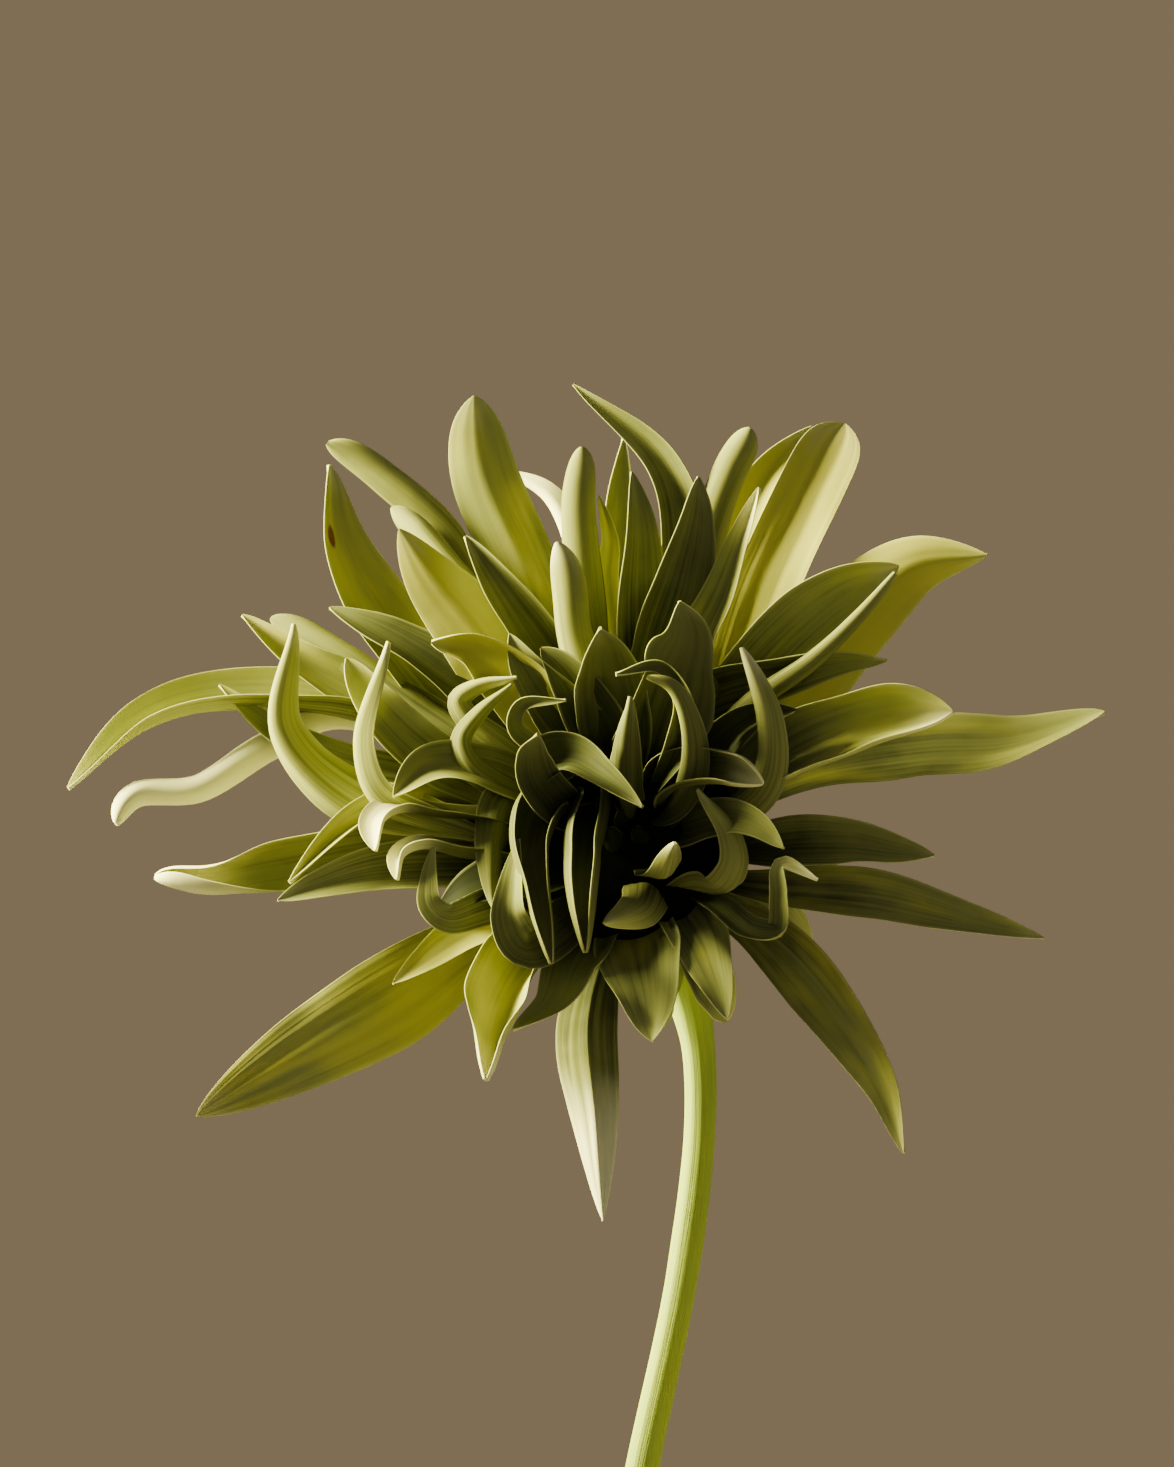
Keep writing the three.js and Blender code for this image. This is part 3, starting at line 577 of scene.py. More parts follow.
# rings along the stem: place, radius, and two sides that don't twist
def stemRings():
    points = [point[:3] for point in stemSetup["line"]]
    points += [bloomPoint(0, 0, height) for height, _ in stemSetup["bowl"]]
    radii = [point[3] for point in stemSetup["line"]] + [radius for _, radius in stemSetup["bowl"]]
    samples = smoothLine(points)
    sampleRadii = np.interp(np.linspace(0, len(points) - 1, len(samples)), np.arange(len(points)), radii)
    for _ in range(stemSetup["smoothing"]):
        sampleRadii[1:-1] = (sampleRadii[:-2] + 2 * sampleRadii[1:-1] + sampleRadii[2:]) / 4
    shares = np.linspace(0, 1, stemSetup["rings"])
    places, length = alongLine(samples, shares)
    radius = np.interp(shares * length, runsOf(samples), sampleRadii)
    directions = unit(np.gradient(places, axis=0))
    side = np.array([1.0, 0, 0])
    sides = []
    for direction in directions:
        side = unit(side - side.dot(direction) * direction)
        sides.append(side)

    # both ends are closed: the cut end over a small round edge, the bowl at its top
    ends, tops = stemSetup["cutEdge"], stemSetup["bowlTop"]
    top = bloomPoint(0, 0, stemSetup["bowl"][-1][0])
    body = slice(2, -1)
    cutEnd = [places[0] + directions[0] * radius[0] * t for t, _ in ends]
    places = cutEnd + list(places[body]) + [top] * len(tops)
    radius = [radius[0] * r for _, r in ends] + list(radius[body]) + tops
    sides = [sides[0]] * len(ends) + sides[body] + [sides[-2]] * len(tops)
    directions = [directions[0]] * len(ends) + list(directions[body]) + [directions[-2]] * len(tops)
    return np.array(places), np.array(radius), np.array(sides), np.cross(directions, sides)


def stemTree():
    sizes = {"Sides": 64, "Ridge Count": 9.0, "Ridge Depth": 0.03 * mm, "Unevenness": 0.16 * mm}
    tree, start, given = newGeometryTree("ridgedStem", sizes)
    circle, index = pointCircle(start, given["Sides"])
    circle = store(start, circle, "turn", index / given["Sides"] * (2 * math.pi))
    skin = sweep(start, meshLines(start, given), circle)
    turn, thick = named(start, "turn", "thick")
    spine, side, face = named(start, "spine", "side", "face", kind="FLOAT_VECTOR")
    around = side * turn.cos() + face * turn.sin()
    ridges = (turn * given["Ridge Count"]).cos() * given["Ridge Depth"]
    lumps = spine.noise(55.0) - 0.5
    solid = (thick * 1000).step(0.2, 1.5)
    place = spine + around * (thick + (ridges + lumps * given["Unevenness"] * 2) * solid)
    closeTree(start, skin, place, given["Material"])
    return tree


def greenMaterial():
    values = stemSetup
    material, start, place = newMaterial("greenStem")
    turn, rise = readAttributes(start, "turn", "rise")
    fibres = joined(start, turn.cos() * 5, turn.sin() * 5, rise * 9).noise(2.4, 4.0)
    cloud = place.noise(60.0, 4.0)
    pores = place.noise(1500.0)
    depth = (fibres * 0.7 + cloud * 0.6 - 0.15).step(0.25, 0.85)
    colour = depth.mix(values["deep"], values["lit"])

    # a brownish blush low on the stem
    blush = (cloud - 0.5 + (1 - rise.step(0.0, 0.35)) * 0.2).step(0.05, 0.4) * 0.35
    colour = blush.mix(colour, values["blush"])
    fixed = {
        "Subsurface Weight": 0.12,
        "Subsurface Radius": (0.4, 0.5, 0.1),
        "Subsurface Scale": 2 * mm,
        "Specular IOR Level": 0.02,
    }
    roughness = 0.5 + pores * 0.14 + fibres * 0.08
    bump = (fibres * 0.14 + pores * 0.03).relief(0.7)
    finishMaterial(start, {"Base Color": colour, "Roughness": roughness, "Normal": bump, **fixed})
    return material


places, radius, sides, faces = stemRings()
numbers = {
    "spine": places * mm,
    "side": sides,
    "face": faces,
    "thick": radius * mm,
    "rise": np.linspace(0, 1, len(places)),
}
stemLook = greenMaterial()
stemLine = linesMesh("dahliaStem", [places * mm], numbers)
stem = grown("dahliaStem", stemLine, stemTree(), stemLook, ["spine", "side", "face"])
dress(stem, "stem")


def ray(line, width, **own):
    return dict(line=line, width=width, **own)


# Each whorl: the radius and height at which its florets are rooted, how high their middles and
# tips stand over the heart, how much higher the tips stand for each millimetre up in the front
# view, the height on the axis that their inner faces look at, how steeply each half is folded up
# and how much further its margin rolls in, how dark green they are, partly the green of young
# florets and partly painted shade, and how blunt their tips are.
# Each floret: the line of its midrib in the front view, right and up of the heart, up to the tip,
# its width laid flat, and where it differs from its whorl. `turn` turns the blade about its own
# length, `hook` bends its end inwards, and `hood` rolls its end in further. `ribbed` and `wavy`
# make more of its ribs and waves. For the colour, `tone` runs from cool green to yellow and is
# drawn where it isn't given, `pale` blanches a floret, and the number for young green keeps it
# dark green, partly as young florets are and partly as painted shade where it stands in shadow.
outerWhorl = {
    "root": (7, 1.6),
    "heights": (7, 10),
    "lean": 0.04,
    "focus": 80,
    "fold": 30,
    "roll": 8,
    "young": 0.0,
    "blunt": 2.6,
    "florets": [
        ray([(-30, 18), (-54, 21.5), (-65, 19), (-75.5, 10.5)], 15, fold=42, roll=10, turn=60, tone=0.3,
            pale=0.25),
        ray([(-38, 20), (-48, 15.5), (-57, 10.3), (-65.5, 9.2), (-69, 5.6)], 9.5, fold=5, roll=165,
            turn=160, blunt=30, tone=0, pale=1.05),
        ray([(-30, 2), (-47, -1), (-57, -2.5), (-63.5, -1.5)], 9.5, fold=10, roll=60, hood=90, blunt=20,
            tone=0.4, pale=0.4, young=0.2),
        ray([(-20, -10.5), (-32, -18.5), (-45, -26), (-57.5, -33.5)], 14.5, fold=-2, roll=-3, turn=-18,
            blunt=3.2, ribbed=4, tone=0.6, young=0.1),
        ray([(-3, -12), (-5, -21), (-4, -34), (-3, -47)], 14, fold=-16, roll=-20, blunt=1.35, ribbed=6,
            tone=0.1, pale=0.6),
        ray([(19, -9.5), (28, -19.5), (34.5, -29.5), (37, -38)], 11, fold=15, blunt=2.2, tone=0.4,
            young=0.05),
        ray([(20, -3), (34, -4), (44, -6.5), (56, -9.5)], 9, fold=12, blunt=2.2, tone=0.35, young=0.1),
        ray([(18, 2.5), (30, 3), (37, 2), (41.5, 1.5)], 9, fold=18, blunt=3, young=0.1),
        ray([(24, 12.5), (40, 15.5), (52, 16.5), (64.5, 20.8)], 12, fold=12, turn=-28, blunt=5, tone=0.3,
            young=0.2),
        ray([(22, 24), (31, 34), (39, 40.3), (49, 42)], 16, fold=-12, roll=-20, turn=8, blunt=3, tone=0.9,
            young=0.15),
        ray([(14, 24), (19.5, 38), (25, 50), (30, 60)], 9.5, fold=10, turn=4, blunt=30, ribbed=2.5,
            tone=1.0),
        ray([(9, 26), (15, 44), (20, 54), (25.8, 60)], 8, fold=20, blunt=4, heights=(1, -1), tone=0.8),
        ray([(7, 28), (10.5, 45), (13.5, 53), (17.2, 59.3)], 12.5, fold=3, roll=165, turn=170, blunt=30,
            tone=0.1, young=0.55),
        ray([(6, 28), (8, 44), (5, 55), (-7, 65.5)], 9.5, turn=15, blunt=2, tone=-0.2, young=0.35),
        ray([(0, 28), (-1, 46), (0, 58.5)], 9, fold=35, turn=10, heights=(1, -1), tone=0.3),
        ray([(-5, 28), (-7, 42), (-10.5, 50), (-16, 54)], 8, fold=50, turn=150, blunt=5, heights=(0, -6),
            pale=1.1),
        ray([(-8, 26), (-14.5, 42), (-19, 53), (-20.5, 64)], 9.8, fold=-10, roll=-10, turn=5, blunt=16,
            tone=0.4),
        ray([(-14, 24), (-24, 44), (-33, 52), (-40.5, 57.5)], 13, fold=5, roll=175, turn=165, blunt=30,
            tone=0.1, young=0.5),
        ray([(-22, 20), (-34, 34.5), (-38.8, 44), (-40.2, 54.5)], 13, turn=10, blunt=3.5, tone=0.5,
            pale=0.2),
        ray([(-22, 16), (-36, 23.5), (-45, 28.5), (-52, 34)], 10.1, blunt=3, tone=0.5),
        ray([(-24, 10), (-38, 13.5), (-48, 18.5), (-55, 24.5)], 8, fold=20),
    ],
}
secondWhorl = {
    "root": (7, 4),
    "heights": (15, 20),
    "lean": 0.04,
    "focus": 80,
    "fold": 28,
    "roll": 8,
    "young": 0.15,
    "blunt": 2.6,
    "florets": [
        ray([(-20, 0), (-33, -0.5), (-41, -2.5), (-46.5, -4.5)], 9, fold=12, blunt=3),
        ray([(-16, 5), (-28, 8), (-36, 6), (-45, -2)], 8, fold=40, turn=30, tone=0.4),
        ray([(-14, -5.5), (-22, -9), (-27, -12.5), (-31, -15.5)], 8, fold=5, tone=0.8),
        ray([(-8, -8), (-14, -14.5), (-17, -21.5), (-18, -30)], 14, fold=30, roll=40, turn=15, hook=25,
            hood=40, blunt=6, tone=0.5, pale=0.3, young=0),
        ray([(-3, -7), (-6.5, -13), (-9.5, -18.5), (-15, -21.5)], 11, fold=18, turn=10, tone=0.2),
        ray([(1, -6), (2, -12), (3, -17.5), (3.5, -23)], 13.4, fold=12, blunt=3.5, tone=0.2, young=0.1),
        ray([(5, -3), (10, -9), (12, -14.5), (13.5, -20)], 10.1, fold=15, blunt=3, tone=0.2),
        ray([(14, 8), (25, 15), (35, 19), (43.8, 20.8)], 14, fold=15, roll=60, turn=-15, blunt=9, ribbed=3,
            tone=0.4, pale=0.3, young=0),
        ray([(9, 10), (14, 17), (18, 20), (23, 21)], 9.0, young=0.85),
        ray([(10, 22), (22, 26), (29, 27.5), (35, 27.5)], 9, fold=15, turn=25, young=0.45),
        ray([(12, 20), (22, 31.5), (29.5, 37.3), (36.8, 40.3)], 9.5, fold=18, turn=22, blunt=8, young=0.1),
        ray([(14, 20), (25, 28), (31, 33.5), (36.3, 39.2)], 6.5, fold=3, roll=150, turn=165, blunt=3,
            heights=(18, 25), pale=0.1, young=0.6),
        ray([(7, 24), (13, 36), (16, 45), (18, 51)], 9, fold=30, turn=-15, blunt=2.2, pale=0.3),
        ray([(4, 26), (7.5, 38), (9.5, 47), (10, 52.5)], 12, fold=20, turn=30, blunt=3, young=0.55),
        ray([(2, 26), (2, 38), (2, 46), (1, 53.2)], 10, fold=22, turn=30, young=0.5),
        ray([(-4, 26), (-6, 38), (-6.6, 48), (-5.7, 56.5)], 12.5, fold=3, roll=165, turn=170, blunt=30,
            tone=0, young=0.6),
        ray([(-6, 20), (-12, 29.5), (-17, 37), (-21.5, 44.5)], 11, roll=30, turn=15, blunt=3, young=0.45),
        ray([(-8, 18), (-18, 32), (-25.5, 41.5), (-31.5, 48.5)], 12, fold=5, roll=175, turn=165, blunt=30,
            heights=(14, 13), tone=-0.5, young=0.3),
        ray([(-10, 17), (-19, 30.5), (-26, 39), (-30.5, 45.5)], 13, fold=-14, roll=-12, turn=5, blunt=4,
            tone=0.9, young=0.1),
        ray([(-12, 16), (-23, 25), (-32, 31), (-40, 35)], 14, fold=12, turn=45, heights=(15, 14), tone=-0.5,
            young=0.8),
        ray([(-14, 12), (-28, 20.5), (-38, 27.5), (-48, 33.5)], 11, fold=5, roll=160, turn=150, blunt=30,
            heights=(11, 8), tone=0.4, young=0.75),
        ray([(-20, 3.5), (-36, 6.5), (-47, 18), (-44.5, 32.5)], 16, fold=45, turn=125, blunt=2.2, tone=0.3,
            pale=0.2, young=0.1),
        ray([(-16, 9), (-27, 15), (-34, 22), (-37.5, 28)], 8, fold=20, blunt=7, young=0.1),
        ray([(-1, 26), (-2.5, 38), (-2, 44), (-3.5, 50)], 5.5, fold=25, blunt=3, heights=(13, 17), tone=0.6,
            young=0),
    ],
}
thirdWhorl = {
    "root": (6, 8),
    "heights": (20, 24),
    "lean": 0.05,
    "focus": 80,
    "fold": 26,
    "roll": 8,
    "young": 0.5,
    "blunt": 2.6,
    "florets": [
        ray([(-20, 4), (-33.5, 8.5), (-36, 16.5), (-31.5, 30)], 9, fold=45, turn=80, blunt=2.2, tone=0,
            pale=0.2, young=0.1),
        ray([(-18, 6.5), (-24.5, 7.3), (-30, 8), (-33, 6.3), (-33.5, 2.2)], 8, fold=5, roll=20, turn=60,
            hood=30, blunt=7, tone=0.8, pale=0.42, young=0.85),
        ray([(-16, 1), (-22, 1.8), (-27, 2.8), (-30, 1.6), (-30.6, -1.6)], 5, fold=15, roll=30, turn=60,
            hood=20, blunt=9, tone=0.8, pale=0.42, young=0.85),
        ray([(-19, -5.5), (-23.6, -6.8), (-26, -5), (-26.2, -1), (-25.5, 3.2)], 6.5, fold=0, turn=-35,
            blunt=2, focus=60, young=0.1),
        ray([(-12, 10), (-20, 13), (-26, 13.5), (-31, 9.5)], 8, fold=20, turn=20, blunt=5),
        ray([(-9, 17), (-15, 25), (-20.5, 29.5), (-26, 30)], 10, fold=6, roll=30, turn=-20, hood=50,
            blunt=5, tone=1, pale=0.1, young=0),
        ray([(-3, 18), (-7, 30), (-8, 37), (-9, 43.5)], 11, fold=3, roll=120, turn=165, blunt=12, tone=0.6,
            pale=0.25, young=0.45),
        ray([(-5, 16), (-10, 22), (-13.5, 27), (-15.5, 31.2)], 12, fold=20, roll=5, blunt=2, young=0.55),
        ray([(-1, 18), (-2, 26), (-2.5, 30.5), (-3, 33.3)], 11, fold=22, hook=60, blunt=7, young=0.55),
        ray([(4, 18), (6.5, 26), (8, 31), (7, 35.5)], 15, fold=22, turn=25, hook=20, blunt=3, wavy=3),
        ray([(10, 6), (17, 11.5), (18.2, 19), (15.8, 29.3)], 10.5, fold=42, roll=5, turn=160, blunt=2.2,
            tone=0.1, pale=0.3, young=0.25),
        ray([(7, 12.3), (11, 13), (15, 12.6), (18.3, 11.2)], 11, fold=10, roll=100, blunt=7, pale=0.35,
            young=0.6),
        ray([(8, -2.5), (13.2, -2.8), (15, 0.5), (14, 5), (9.5, 10.2)], 10, fold=18, roll=5, blunt=1.7,
            focus=10, young=0.1),
        ray([(13, -5.5), (17, -8.6), (20.6, -8.6), (20.9, -4), (20.9, 0.2), (25.5, -1.5)], 4.4, roll=20,
            blunt=5, pale=0.3, young=0.35),
        ray([(3.2, -2.8), (2.4, -5), (0.3, -6.2), (-3, -7.4)], 8, fold=10, roll=25, turn=140, blunt=3.5,
            heights=(22, 27), tone=0.3, pale=0.1, young=0.05),
        ray([(-4.5, 7), (-5.7, 1), (-5.9, -4.5), (-5.3, -11.2)], 20, fold=2, roll=140, blunt=1.7,
            heights=(24, 26), ribbed=0.5, tone=0, young=0.72),
        ray([(-7, 9), (-11, 8), (-13, 3), (-11.8, -4), (-9.8, -12.7)], 15, fold=2, roll=115, blunt=1.9,
            heights=(24, 25), young=0.72),
        ray([(-10, 9), (-15.5, 9), (-17.4, 4), (-17.8, -1), (-17.8, -5.3)], 8, fold=25, roll=10, turn=160,
            young=0.7),
        ray([(-14, 14), (-21, 19.5), (-22.4, 22.3), (-19.5, 24.4), (-14.5, 25.2)], 5.5, fold=20, roll=20,
            turn=150, focus=60, pale=0.25, young=0.25),
        ray([(-12, 8), (-20.5, 13.5), (-21.8, 17), (-19.5, 20.5), (-15.2, 24.3)], 5.5, fold=30, roll=10,
            turn=160, heights=(21, 25), focus=60),
        ray([(-3, 17), (-5.5, 22), (-8.5, 26.5), (-11.3, 29.3)], 9, fold=20, blunt=4, young=0.8),
        ray([(-9, -8), (-13.3, -10.4), (-15.3, -7), (-15.1, -2), (-14.2, 3.8)], 9, fold=10, roll=12,
            turn=-35, blunt=2, heights=(24, 28), focus=60, young=0.4),
        ray([(-10, 0), (-16, -1.5), (-21, -3), (-25, -5.5)], 13, fold=5, turn=20, heights=(19, 18),
            young=1.0),
        ray([(8, 5), (14, 6.6), (17.5, 5.6), (21, 2.6)], 7, fold=15, blunt=3, heights=(21, 25), tone=0.1,
            young=0.45),
    ],
}
innerWhorl = {
    "root": (4, 12),
    "heights": (25, 31),
    "lean": 0,
    "focus": 15,
    "fold": 35,
    "roll": 20,
    "young": 0.85,
    "blunt": 2.6,
    "florets": [
        ray([(6, 8), (8.2, 14), (7.8, 19.5), (6, 23.8), (3, 25.5)], 7.5, fold=45, roll=5, turn=165,
            focus=60, young=0.55),
        ray([(7, 16), (8, 22), (5, 26.6), (-1.2, 25.7)], 5, turn=10, focus=60, young=0.45),
        ray([(0, 8), (-0.4, 13), (0, 18), (0.8, 22.7)], 7.5, fold=42, roll=5, turn=170, focus=80,
            young=0.6),
        ray([(-10, 14), (-7, 14.5), (-3, 12.3), (2.2, 8.2)], 11, fold=22, roll=25, blunt=1.4, focus=80,
            pale=0.15, young=0.7),
        ray([(-9, 14), (-14.8, 18.5), (-14, 21.5), (-8, 22.2)], 4, fold=20, focus=60, young=0.4),
        ray([(-9, 8), (-12, 12), (-13, 16), (-12.8, 19.5)], 7, fold=18, hook=60, blunt=8, focus=60,
            young=0.6),
        ray([(5.4, -0.8), (6, 1.2), (6.5, 3.5)], 5.8, fold=25, roll=8, blunt=6, heights=(26, 33), focus=10,
            pale=0.2, young=0.5),
    ],
}


# the place at one height that the front view shows so far right and up of the heart
def seenAt(right, up, height):
    b = (up - height * axis[2]) / upward[2]
    a = (right - b * upward[0] - height * axis[0]) / across[0]
    return bloomPoint(a, b, height)


# vectors turned about unit axes by an angle each
def turned(vectors, axes, angles):
    c, s = np.cos(angles)[:, None], np.sin(angles)[:, None]
    along = np.sum(vectors * axes, axis=1, keepdims=True) * axes
    return along + (vectors - along) * c + np.cross(axes, vectors) * s


# How a blade changes along its length: places on it are shares of the length, from the root.
bladeForm = {
    "rootWidth": 0.2,  # as a share of its full width
    "widestAt": 0.56,
    "turnedBy": 0.5,  # where its turn is complete
    "hookFrom": 0.6,
    "hoodFrom": 0.65,
    "hoodLength": 0.3,
    "nearby": 0.005,  # the step that its direction is read over
    "taper": 0.75,
    "crowding": 1.3,  # above 1 the rings stand closer towards the tip
    "leastHalfWidth": 0.1,
}


# a floret's midrib at its rings: shares of its length, places, sides and the inner face's normals
def floretSpine(floret, rings):
    form = bladeForm
    shares = 1 - (1 - np.linspace(0, 1, rings)) ** form["crowding"]
    samples = smoothLine(floret["points"])
    places, length = alongLine(samples, shares)
    before, _ = alongLine(samples, np.maximum(shares - form["nearby"], 0))
    after, _ = alongLine(samples, np.minimum(shares + form["nearby"], 1))
    direction = unit(after - before)
    target = bloomPoint(0, 0, floret["focus"]) - places
    normal = unit(target - np.sum(target * direction, axis=1, keepdims=True) * direction)
    side = np.cross(direction, normal)
    twist = math.radians(floret.get("turn", 0)) * smooth(shares / form["turnedBy"])
    side, normal = turned(side, direction, twist), turned(normal, direction, twist)
    hooked = smooth((shares - form["hookFrom"]) / (1 - form["hookFrom"]))
    bend = math.radians(floret.get("hook", 0)) * hooked
    bent, normal = turned(direction, side, bend), turned(normal, side, bend)
    steps = np.diff(shares, prepend=0)[:, None] * length
    return shares, places + np.cumsum((bent - direction) * steps, axis=0), side, normal


# the florets of a whorl, each with the points of its line; the first is its root
def whorlFlorets(whorl):
    shared = {key: whorl[key] for key in ("focus", "fold", "roll", "blunt", "young")}
    rootRadius, rootHeight = whorl["root"]
    middleUsual, tipUsual = whorl["heights"]
    made = []
    for floret in whorl["florets"]:
        tipUp = floret["line"][-1][1]
        middle, tip = floret.get("heights", (middleUsual, tipUsual + whorl["lean"] * tipUp))
        bulge = 2 * middle - (rootHeight + tip) / 2
        seen = np.array([(0, 0), *floret["line"]], float)
        runs = np.cumsum(np.linalg.norm(np.diff(seen, axis=0), axis=1))
        points = []
        for (right, up), f in zip(floret["line"], runs / runs[-1]):
            height = (1 - f) ** 2 * rootHeight + 2 * f * (1 - f) * bulge + f**2 * tip
            points.append(seenAt(right, up, height))
        outward = points[0] - heart
        outward -= outward.dot(axis) * axis
        root = bloomPoint(0, 0, rootHeight) + unit(outward) * rootRadius
        made.append({**shared, **floret, "points": [root, *points]})
    return made


# Florets that the front view hides: the last whorl, bent back over the bowl, and the tight heart.
# `shared` is what all the florets of a group have in common.
backWhorl = {
    "count": 11,
    "root": 7.2,
    "level": 0.4,
    "reach": 33,
    "drop": -20,
    "width": 9,
    "seed": 7,
    "shared": dict(focus=80, fold=20, roll=25, blunt=2.6, young=0),
}
heartWhorl = {
    "count": 7,
    "root": 16,
    "spread": 8,
    "height": 23,
    "width": 5.5,
    "seed": 3,
    "shared": dict(focus=15, fold=35, roll=20, blunt=2.6, young=1),
}


# numbers from 0 to 1 that come out alike each time
def seeded(state):
    while True:
        state = state * 16807 % 2147483647
        yield state / 2147483647


# a floret that stands out from the axis at an angle, on a path of reaches and heights
def standing(whorl, angle, path, width):
    points = [bloomPoint(r * math.cos(angle), r * math.sin(angle), h) for r, h in path]
    return dict(points=points, width=width, **whorl["shared"])


# evenly spaced but for a little, and shorter below the stem
def backFlorets():
    draw = seeded(backWhorl["seed"])
    level = backWhorl["level"]
    made = []
    for i in range(backWhorl["count"]):
        angle = 2 * math.pi * (i + 0.5 + 0.4 * (next(draw) - 0.5)) / backWhorl["count"]
        reach = backWhorl["reach"] * (0.78 + 0.22 * math.sin(angle)) * (0.94 + 0.12 * next(draw))
        drop = backWhorl["drop"] * (0.8 + 0.3 * next(draw))
        path = [(backWhorl["root"], level), (0.5 * reach, level), (0.8 * reach, 0.35 * drop), (reach, drop)]
        made.append(standing(backWhorl, angle, path, backWhorl["width"] * (0.9 + 0.2 * next(draw))))
    return made


# set out as seeds are in a flower head, each by the golden angle from the last
def heartFlorets():
    draw = seeded(heartWhorl["seed"])
    goldenAngle = math.pi * (3 - math.sqrt(5))
    made = []
    for i in range(heartWhorl["count"]):
        spread = heartWhorl["spread"] * math.sqrt((i + 0.5) / heartWhorl["count"])
        height = heartWhorl["height"] - 0.3 * spread + 2 * next(draw)
        path = [(0.5 * spread, heartWhorl["root"]), (spread, 0.75 * height), (0.55 * spread, height)]
        width = heartWhorl["width"] * (0.85 + 0.3 * next(draw))
        made.append(standing(heartWhorl, i * goldenAngle, path, width))
    return made


# what the blade nodes need at each point of the midribs
def bladeNumbers(blades):
    rows = {key: [] for key in blades[0]}
    for blade in blades:
        rings = len(blade["along"])
        for key, values in rows.items():
            values.append(blade[key] if np.ndim(blade[key]) else np.full(rings, float(blade[key])))
    return {key: np.concatenate(values) for key, values in rows.items()}


# florets ready for the blade nodes: widths along them, and how each one's colour differs
def floretBlades(florets, rings, group):
    form = bladeForm
    draw = random.Random(group)
    blades = []
    for number, floret in enumerate(florets):
        shares, places, side, normal = floretSpine(floret, rings)
        swell = form["rootWidth"] + (1 - form["rootWidth"]) * smooth(shares / form["widestAt"])
        taper = (1 - shares ** floret["blunt"]) ** form["taper"]
        hood = floret.get("hood", 0) * smooth((shares - form["hoodFrom"]) / form["hoodLength"])
        blades.append({
            "spine": places * mm,
            "side": side,
            "face": normal,
            "along": shares,
            "half": np.maximum(floret["width"] / 2 * swell * taper, form["leastHalfWidth"]) * mm,
            "fold": math.radians(floret["fold"]),
            "roll": np.radians(floret["roll"] + hood),
            "ribbed": floret.get("ribbed", 1),
            "wavy": floret.get("wavy", 1),
            "tone": floret.get("tone", draw.uniform(-0.4, 0.4)),
            "pale": floret.get("pale", 0),
            "young": floret["young"],
            "seed": number + 40 * group,
        })
    return blades


# Bracts: leafy ones bent back over the bowl, and thin ones right under the florets.
bractSetup = {
    "leafy": dict(
        count=5, length=13, width=5.6, root=6.6, height=-5, lift=-30, bend=-75, fold=8, roll=12,
        rings=30, seed=500,
    ),
    "thin": dict(
        count=8, length=11, width=7, root=7.6, height=-3, lift=-14, bend=-34, fold=5, roll=10,
        rings=30, seed=520,
    ),
}


def bractBlades(bracts):
    form = bladeForm
    blades = []
    for index in range(bracts["count"]):
        angle = 2 * math.pi * (index + 0.5) / bracts["count"]
        outward = across * math.cos(angle) + upward * math.sin(angle)
        shares = np.linspace(0, 1, bracts["rings"])
        rise = np.radians(bracts["lift"] + (bracts["bend"] - bracts["lift"]) * shares)[:, None]
        direction = outward * np.cos(rise) + axis * np.sin(rise)
        steps = np.diff(shares, prepend=0)[:, None] * bracts["length"]
        root = bloomPoint(0, 0, bracts["height"]) + outward * bracts["root"]
        width = bracts["width"] / 2 * (0.7 + 0.3 * smooth(shares / 0.4)) * (1 - shares**3) ** form["taper"]
        blades.append({
            "spine": (root + np.cumsum(direction * steps, axis=0)) * mm,
            "side": np.tile(np.cross(outward, axis), (len(shares), 1)),
            "face": axis * np.cos(rise) - outward * np.sin(rise),
            "along": shares,
            "half": np.maximum(width, form["leastHalfWidth"]) * mm,
            "fold": math.radians(bracts["fold"]),
            "roll": math.radians(bracts["roll"]),
            "ribbed": 1,
            "wavy": 1,
            "seed": index + bracts["seed"],
        })
    return blades


